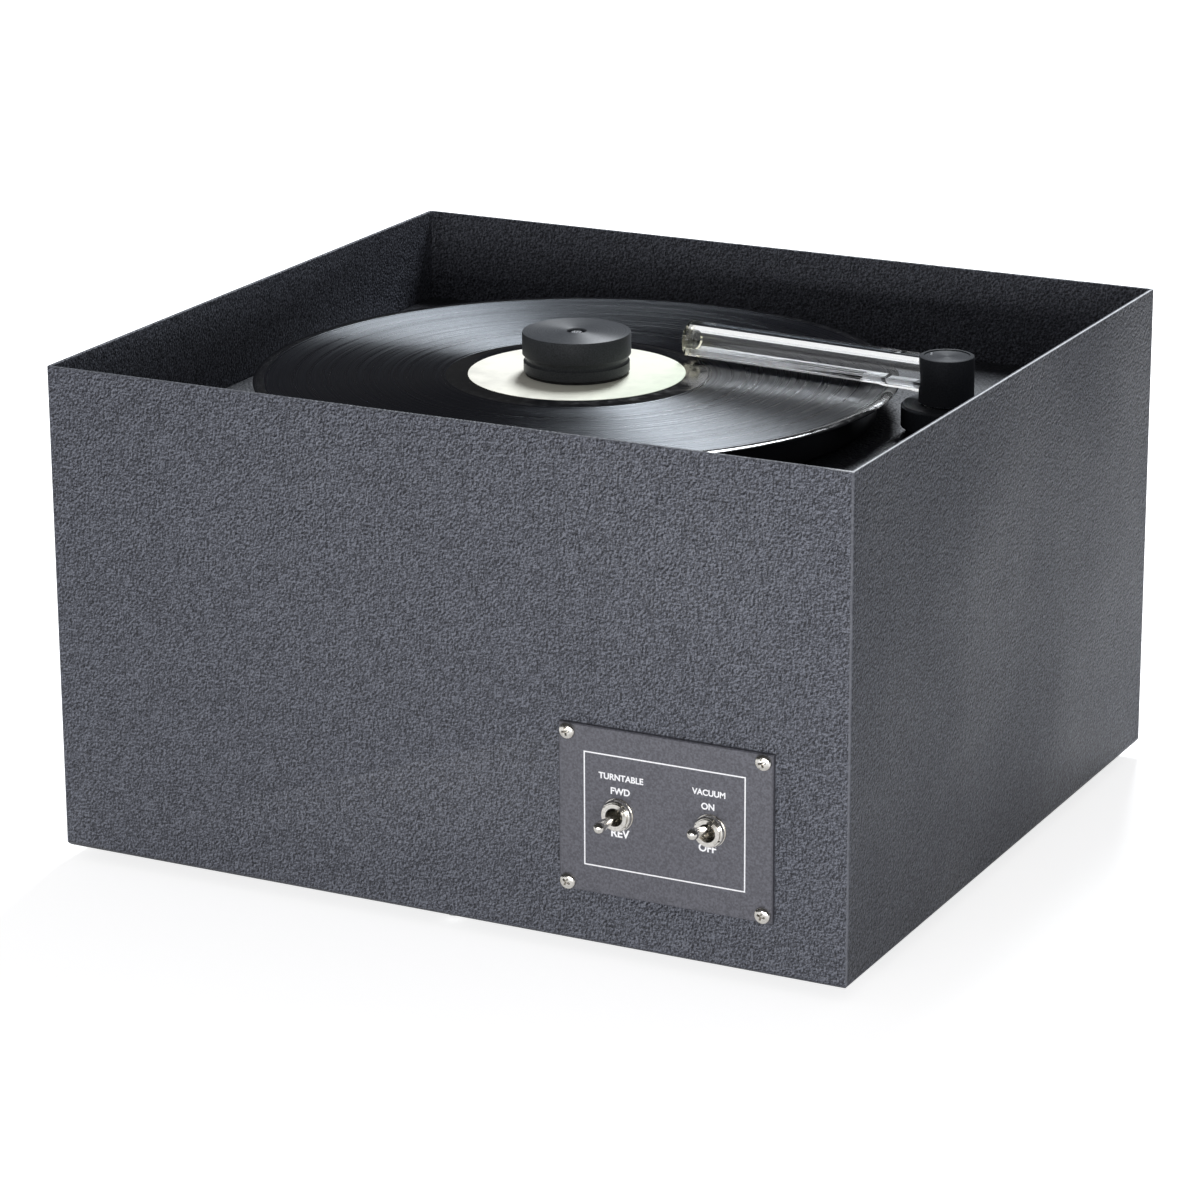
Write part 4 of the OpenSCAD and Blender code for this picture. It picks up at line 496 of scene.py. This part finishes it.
# Vacuum tube: clear acrylic, polished, its underside milled flat with a suction slot, and
# closed by a cemented plug. It is pushed into the post and held by the set screw.
acrylic, shader = finish("clear_acrylic", (0.98, 0.99, 1.0), 0.02, IOR=1.49, Transmission_Weight=1.0)
feed(acrylic, shader, Roughness=ramp(acrylic, noise(acrylic, 220, 3), (0.4, 0.01), (0.8, 0.05)))
frosted, shader = finish("milled_acrylic", (0.90, 0.91, 0.93), 0.4, IOR=1.49, Transmission_Weight=0.45)
cutter = noise(frosted, 700, 3)
feed(frosted, shader, Roughness=ramp(frosted, cutter, (0.35, 0.3), (0.7, 0.55)))
relief(frosted, shader, cutter, 0.00008, 0.6)
tube_r, tube_bore = 0.009, 0.0048
tube_in, tube_out = 0.0069, 0.1340
flat_x, relief_x = 0.0064, 0.0073
blank = turn("tube_blank",
             [(tube_bore, tube_in), (tube_r, tube_in), (tube_r, tube_out), (tube_bore, tube_out)],
             origin, acrylic, None)


def block(name, corners, half_width):
    """A scratch prism: corners are (x, z), pushed out to both sides along y."""
    bm = bmesh.new()
    sides = [[bm.verts.new((x, y, z)) for x, z in corners] for y in (-half_width, half_width)]
    bm.faces.new(sides[0])
    bm.faces.new(sides[1][::-1])
    for i in range(len(corners)):
        j = (i + 1) % len(corners)
        bm.faces.new((sides[0][i], sides[1][i], sides[1][j], sides[0][j]))
    bmesh.ops.recalc_face_normals(bm, faces=bm.faces)
    return piece(name, bm, acrylic, None)


def milled(name, blank):
    """The blank with the relief, the step and the flat milled off its underside."""
    relief_in, relief_out, flat_in = 0.0157, 0.030, 0.032
    below, beyond = 0.02, 0.2
    path = [(flat_x, flat_in), (flat_x, beyond), (below, beyond), (below, relief_in),
            (relief_x, relief_in), (relief_x, relief_out)]
    return shape(name, blank, block(name + "_mill", path, below))


flat = piece("tube_flat", milled("flat", blank), acrylic, None)
slot_in, slot_out, slot_w = 0.0430, 0.1310, 0.0024
bore_x, below_x = 0.003, 0.012
slot = block("slot", [(bore_x, slot_in), (bore_x, slot_out), (below_x, slot_out), (below_x, slot_in)],
             slot_w / 2)
tube = piece("vacuum_tube_clear", shape("slot", flat, slot), acrylic, "tube_arm")
tube.data.materials.append(frosted)
for face in tube.data.polygons:
    downward = abs(face.normal.x) > 0.99 and face.center.x > flat_x - 0.0009
    if downward and face.center.z > tube_in + 0.002:
        face.material_index = 1
lay(tube)
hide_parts("vacuum_tube")
plug_clear, shader = finish("cemented_plug", (0.93, 0.90, 0.72), 0.04, IOR=1.49, Transmission_Weight=1.0)
feed(plug_clear, shader, Roughness=ramp(plug_clear, noise(plug_clear, 400, 3), (0.4, 0.03), (0.7, 0.12)))
plug_r, plug_end, tip, tip_round = 0.0047, 0.1314, 0.1360, 0.0006
blank = turn("plug_blank",
             [(0, plug_end), (plug_r, plug_end), (plug_r, tube_out), (tube_r, tube_out),
              (tube_r, tip - tip_round), (tube_r - tip_round, tip), (0, tip)],
             origin, plug_clear, None)
plug = lay(piece("tube_plug_clear", milled("plug", blank), plug_clear, "tube_arm"))
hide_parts("tube_plug")

# Velvet lips: two strips of short black pile, glued to the tube's flat on both sides of the
# slot. They wipe the record while the tube draws the fluid off it.
velvet, shader = finish("black_velvet", (0.012, 0.012, 0.014), 0.9, Sheen_Weight=0.4, Sheen_Roughness=0.4)
pile = noise(velvet, 3000, 2)
feed(velvet, shader,
     Base_Color=ramp(velvet, pile, (0.3, (0.006, 0.006, 0.007)), (0.7, (0.022, 0.022, 0.025))))
relief(velvet, shader, pile, 0.0002, 0.8)
dress(velvet, "velvet_lips")

# Control plate: smooth dark plate with a fine chamfer, screwed over a window in the front,
# with a printed frame line and the switches' words.
plate_coat, shader = finish("smooth_plate_coat", (0.09, 0.09, 0.105), 0.42)
fine = noise(plate_coat, 1100, 2)
feed(plate_coat, shader,
     Base_Color=ramp(plate_coat, fine, (0.35, (0.058, 0.058, 0.070)), (0.65, (0.104, 0.104, 0.124))))
relief(plate_coat, shader, fine, 0.00006, 0.5)
dress(plate_coat, "control_plate")
plate_front, plate_x, plate_z = -0.1795, 0.112, 0.0695
ink, shader = finish("white_print", (0.82, 0.82, 0.84), 0.5)
feed(ink, shader,
     Base_Color=ramp(ink, noise(ink, 2600, 2), (0.3, (0.70, 0.70, 0.73)), (0.6, (0.88, 0.88, 0.90))))
ink_t, line_w = 0.00003, 0.0006
print_y = plate_front - ink_t
left, right, low, high = 0.0733, 0.1502, 0.0438, 0.0960
corners = [[(left + t, low + t), (right - t, low + t), (right - t, high - t), (left + t, high - t)]
           for t in (0, line_w)]
bm = bmesh.new()
outer, inner, outer_back, inner_back = (
    [bm.verts.new((x, y, z)) for x, z in loop] for y in (print_y, plate_front) for loop in corners)
for i in range(4):
    j = (i + 1) % 4
    bm.faces.new((outer[i], outer[j], inner[j], inner[i]))
    bm.faces.new((outer_back[j], outer_back[i], inner_back[i], inner_back[j]))
    bm.faces.new((outer[j], outer[i], outer_back[i], outer_back[j]))
    bm.faces.new((inner[i], inner[j], inner_back[j], inner_back[i]))
bmesh.ops.recalc_face_normals(bm, faces=bm.faces)
piece("plate_frame_line", bm, ink, "chassis")
word_depth = 0.002
for word, x, z, width in (("TURNTABLE", 0.0912, 0.0859, 0.0214), ("FWD", 0.0908, 0.0797, 0.0092),
                          ("REV", 0.0906, 0.0606, 0.0088), ("VACUUM", 0.1330, 0.0859, 0.0157),
                          ("ON", 0.1325, 0.0797, 0.0062), ("OFF", 0.1323, 0.0608, 0.0083)):
    curve = bpy.data.curves.new("word_" + word.lower(), "FONT")
    curve.body = word
    curve.align_x = "CENTER"
    curve.align_y = "CENTER"
    curve.offset = 0.03
    curve.extrude = 0.01
    lettering = bpy.data.objects.new("lettering", curve)
    bpy.context.scene.collection.objects.link(lettering)
    mesh = bpy.data.meshes.new_from_object(lettering.evaluated_get(bpy.context.evaluated_depsgraph_get()))
    bpy.data.objects.remove(lettering)
    drawn = max(v.co.x for v in mesh.vertices) - min(v.co.x for v in mesh.vertices)
    size = width / drawn
    mesh.transform(Matrix.Translation((x, print_y + ink_t / 3, z))
                   @ Matrix.Rotation(math.radians(90), 4, "X")
                   @ Matrix.Diagonal((size, size, word_depth, 1)))
    bm = bmesh.new()
    bm.from_mesh(mesh)
    bmesh.ops.remove_doubles(bm, verts=bm.verts, dist=1e-7)
    bpy.data.meshes.remove(mesh)
    piece("word_" + word.lower(), bm, ink, "chassis")

# Plate screws: four nickel-plated pan heads with a cross recess, driven into the case.
# One head is modelled, and Geometry Nodes set it at the plate's corners, turned at random.
nickel, shader = finish("bright_nickel", (0.74, 0.72, 0.68), 0.16, 1.0)
scuff = noise(nickel, 700, 5, Roughness=0.7)
feed(nickel, shader,
     Base_Color=ramp(nickel, scuff, (0.3, (0.62, 0.59, 0.54)), (0.6, (0.80, 0.78, 0.74))),
     Roughness=ramp(nickel, scuff, (0.35, 0.10), (0.75, 0.3)))
relief(nickel, shader, scuff, 0.00003, 0.5)


def set_out(name, part, material, across, up, columns, rows, seed, most_turn):
    """Geometry Nodes set the part out on a grid over the control plate, as one mesh."""
    tree = bpy.data.node_groups.new(name + "_layout", "GeometryNodeTree")
    given = {"Part": ("Object", part), "Across": ("Float", across), "Up": ("Float", up),
             "Turn Seed": ("Int", seed), "Most Turn": ("Float", most_turn),
             "Facing": ("Vector", (math.radians(90), 0, 0)),
             "Place": ("Vector", (plate_x, plate_front, plate_z)), "Finish": ("Material", material)}
    sockets = {key: tree.interface.new_socket(key, in_out="INPUT", socket_type="NodeSocket" + kind)
               for key, (kind, _) in given.items()}
    tree.interface.new_socket("Geometry", in_out="OUTPUT", socket_type="NodeSocketGeometry")
    start = tree.nodes.new("NodeGroupInput").outputs
    end = tree.nodes.new("NodeGroupOutput")

    def put(kind, output, **links):
        node = tree.nodes.new(kind)
        for key, value in links.items():
            if isinstance(value, bpy.types.NodeSocket):
                tree.links.new(value, node.inputs[key.replace("_", " ")])
            else:
                node.inputs[key.replace("_", " ")].default_value = value
        return node.outputs[output]

    grid = put("GeometryNodeMeshGrid", "Mesh", Size_X=start["Across"], Size_Y=start["Up"],
               Vertices_X=columns, Vertices_Y=rows)
    one = put("GeometryNodeObjectInfo", "Geometry", Object=start["Part"], As_Instance=True)
    angle = put("FunctionNodeRandomValue", "Value", Max=start["Most Turn"], Seed=start["Turn Seed"])
    spin = put("ShaderNodeCombineXYZ", "Vector", Z=angle)
    dots = put("GeometryNodeInstanceOnPoints", "Instances", Points=grid, Instance=one, Rotation=spin)
    stood = put("GeometryNodeTransform", "Geometry", Geometry=dots, Rotation=start["Facing"],
                Translation=start["Place"])
    real = put("GeometryNodeRealizeInstances", "Geometry", Geometry=stood)
    coated = put("GeometryNodeSetMaterial", "Geometry", Geometry=real, Material=start["Finish"])
    tree.links.new(coated, end.inputs["Geometry"])
    carrier = bpy.data.objects.new(name, bpy.data.meshes.new(name))
    bpy.context.scene.collection.objects.link(carrier)
    modifier = carrier.modifiers.new("layout", "NODES")
    modifier.node_group = tree
    for key, (_, value) in given.items():
        modifier[sockets[key].identifier] = value
    carrier.update_tag()
    mesh = bpy.data.meshes.new_from_object(carrier.evaluated_get(bpy.context.evaluated_depsgraph_get()))
    carrier.modifiers.remove(modifier)
    carrier.data = mesh
    bpy.data.objects.remove(part)
    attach(carrier, "chassis")
    return carrier


def cross_head(name, head_r, head_h, shank_r, shank_l, material):
    """A pan head screw standing on the origin, its recess cut by two crossed, tapered blades."""
    skirt = head_h * 0.3
    dome = [(0, -shank_l), (shank_r, -shank_l), (shank_r, 0), (head_r - 0.0001, 0), (head_r, 0.0002),
            (head_r, skirt)]
    dome += [(head_r * math.cos(t) ** 0.7, head_h * (0.3 + 0.7 * math.sin(t)))
             for t in (math.radians(15 * i) for i in range(1, 6))]
    dome.append((0, head_h))
    head = turn(name + "_blank", dome, origin, material, None, segments=48, sharp=40)
    recess_low, recess_high = 0.28 * head_r, 0.58 * head_r
    recess_z, above = head_h * 0.25, head_h * 1.2
    for angle in (0, 90):
        blade = block("blade", [(-recess_low, recess_z), (recess_low, recess_z), (recess_high, above),
                                (-recess_high, above)], head_r * 0.13)
        blade.data.transform(Matrix.Rotation(math.radians(angle), 4, "Z"))
        head = piece(name + "_cut", shape("recess", head, blade), material, None, 40)
    return head


head = cross_head("plate_screw", 0.0038, 0.0022, 0.00145, 0.0075, nickel)
screws = set_out("plate_screw_heads", head, nickel, 0.093, 0.069, 2, 2, seed=4, most_turn=1.5)
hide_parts("plate_screws")

# Switch nuts: round dressed nuts with turned rings and two crossed slots, nickel-plated, each
# screwed down on a thin washer. They hold the switches behind the plate.
nut_bore_r, nut_r, nut_h = 0.00605, 0.0071, 0.0038
washer_r, washer_t = 0.0073, 0.0008
nut = turn("nut_blank", [(nut_bore_r, 0), (washer_r, 0), (washer_r, washer_t), (nut_r - 0.0001, 0.00082),
                         (nut_r, 0.0011), (nut_r, 0.0024), (0.0068, 0.0030), (0.0062, 0.0034),
                         (0.00660, 0.0036), (0.00640, nut_h), (nut_bore_r, nut_h)],
           origin, nickel, None, segments=96, sharp=25)
saw_reach, saw_floor, saw_top, saw_w = 0.009, 0.0029, 0.005, 0.001
for angle in (45, 135):
    slot = block("nut_slot", [(-saw_reach, saw_floor), (saw_reach, saw_floor), (saw_reach, saw_top),
                              (-saw_reach, saw_top)], saw_w / 2)
    slot.data.transform(Matrix.Rotation(math.radians(angle), 4, "Z"))
    nut = piece("nut_cut", shape("nut_slot", nut, slot), nickel, None, 25)
nuts = set_out("switch_nut_pair", nut, nickel, 0.044, 0.0, 2, 1, seed=2, most_turn=0.6)
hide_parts("switch_nuts")
dress(nickel, "toggle_switches", "inlet_pins")

# Levers: bat levers of nickel-plated steel, each on a ball in its switch. The turntable's
# rests in its middle place, and the vacuum's is tilted up.


def bat(name, x, tilt, body):
    """A bat lever along its own axis, turned to the front and tilted up about its pivot."""
    pivot_y = -0.1755
    length, tip_r, ball_r, neck_r = 0.025, 0.0027, 0.00265, 0.0015
    tail_r, tail_z = 0.0012, -0.0052
    ball = [(ball_r * math.cos(t), ball_r * math.sin(t))
            for t in (math.radians(a) for a in range(-60, 61, 12))]
    shaft = [(neck_r, 0.0038), (neck_r * 1.05, 0.009), (neck_r * 1.32, 0.014)]
    cap = [(tip_r * math.cos(t), length - tip_r + tip_r * math.sin(t))
           for t in (math.radians(a) for a in range(-12, 79, 12))]
    lever = turn(name, [(0, tail_z), (tail_r, tail_z), (tail_r, -0.0030), *ball, *shaft, *cap, (0, length)],
                 origin, nickel, None, segments=64, sharp=40)
    lever.data.transform(Matrix.Translation((x, pivot_y, plate_z))
                         @ Matrix.Rotation(math.radians(90 - tilt), 4, "X"))
    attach(lever, body)
    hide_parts(body)


bat("turntable_bat", 0.090, 0, "turntable_lever")
bat("vacuum_bat", 0.134, 11, "vacuum_lever")

# Mains inlet with its fuse drawer, and the drain valve's lever: moulded black plastic. The
# inlet is screwed to the back, and the lever turns in the valve's body.
moulded, shader = finish("moulded_black_plastic", (0.028, 0.028, 0.03), 0.42)
spark = noise(moulded, 1300, 3)
feed(moulded, shader,
     Base_Color=ramp(moulded, spark, (0.3, (0.020, 0.020, 0.022)), (0.75, (0.040, 0.040, 0.043))))
relief(moulded, shader, spark, 0.00006, 0.6)
dress(moulded, "power_inlet", "fuse_drawer", "valve_lever")

# Studio: a pale floor that glows for the camera and, less, in reflections, a white surround,
# a low soft lamp in front, one overhead behind the case, and the photo's camera. The floor
# glows less near the case, and its glow in reflections, painted light, fades towards the right.
floor_reach = 14
floor_mesh = bpy.data.meshes.new("studio_floor")
floor_mesh.from_pydata([(-floor_reach, -floor_reach, 0), (floor_reach, -floor_reach, 0),
                        (floor_reach, floor_reach, 0), (-floor_reach, floor_reach, 0)], [], [(0, 1, 2, 3)])
floor = bpy.data.objects.new("studio_floor", floor_mesh)
bpy.context.scene.collection.objects.link(floor)
pale, shader = finish("pale_floor", (0.80, 0.80, 0.81), 0.9)
shader.inputs["Emission Color"].default_value = (1, 1, 1, 1)
rays = add(pale, "LightPath").outputs
aside = add(pale, "SeparateXYZ", {"Vector": place_of(pale)}).outputs["X"]
# Painted reflection: in reflections the floor's glow falls from 0.6 to 0.1 as x runs from 0.3 to 0.9 m,
# dimming what the case's right side reflects.
reflected_glow_fading_right = reckon(pale, "MULTIPLY", rays["Is Glossy Ray"], spread(pale, aside, 0.3, 0.9, 0.6, 0.1))
away = add(pale, "VectorMath", {0: place_of(pale)}, operation="LENGTH").outputs["Value"]
glow = spread(pale, away, 0.5, 1.6, 0.74, 1.0)
seen = reckon(pale, "MAXIMUM", rays["Is Camera Ray"], reflected_glow_fading_right)
feed(pale, shader, Emission_Strength=reckon(pale, "MULTIPLY", seen, glow))
floor_mesh.materials.append(pale)

world = bpy.data.worlds.new("white_surround")
bpy.context.scene.world = world
world.use_nodes = True
world.node_tree.nodes.clear()
rays = add(world, "LightPath").outputs
seen = add(world, "Math", {0: rays["Is Camera Ray"], 1: rays["Is Transmission Ray"]},
           operation="ADD", use_clamp=True).outputs[0]
dim = spread(world, rays["Is Glossy Ray"], 0.0, 1.0, 0.23, 0.05)
strength = spread(world, seen, 0.0, 1.0, dim, 1.0)
light = add(world, "Background", {"Color": (1, 1, 1, 1), "Strength": strength})
add(world, "OutputWorld", {"Surface": light.outputs["Background"]})


def lamp(name, place, size, power, turns, colour=(1, 1, 1)):
    """A soft rectangular lamp, its face turned from straight down by angles about X and then Z."""
    data = bpy.data.lights.new(name, "AREA")
    data.shape = "RECTANGLE"
    data.size, data.size_y = size
    data.energy = power
    data.color = colour
    obj = bpy.data.objects.new(name, data)
    bpy.context.scene.collection.objects.link(obj)
    obj.location = place
    obj.rotation_euler = (math.radians(turns[0]), 0, math.radians(turns[1]))


lamp("overhead_lamp", (-0.20, 0.95, 1.35), (0.36, 0.7), 29, (-32, 20), (0.92, 0.96, 1.0))
lamp("front_lamp", (0.42, -1.60, 0.20), (1.5, 0.36), 22, (90, 10))

camera_place = (0.896246, -1.779705, 0.733590)
yaw, pitch, roll = (math.radians(angle) for angle in (26.9818, 17.5746, -0.2629))
camera_data = bpy.data.cameras.new("photo_camera")
camera_data.lens = 133.329
camera_data.sensor_width = 36
camera_data.clip_end = 60
camera = bpy.data.objects.new("photo_camera", camera_data)
bpy.context.scene.collection.objects.link(camera)
camera.matrix_world = (Matrix.Translation(camera_place) @ Matrix.Rotation(yaw, 4, "Z")
                       @ Matrix.Rotation(math.pi / 2 - pitch, 4, "X") @ Matrix.Rotation(roll, 4, "Z"))
bpy.context.scene.camera = camera
bpy.context.scene.view_settings.view_transform = "Standard"
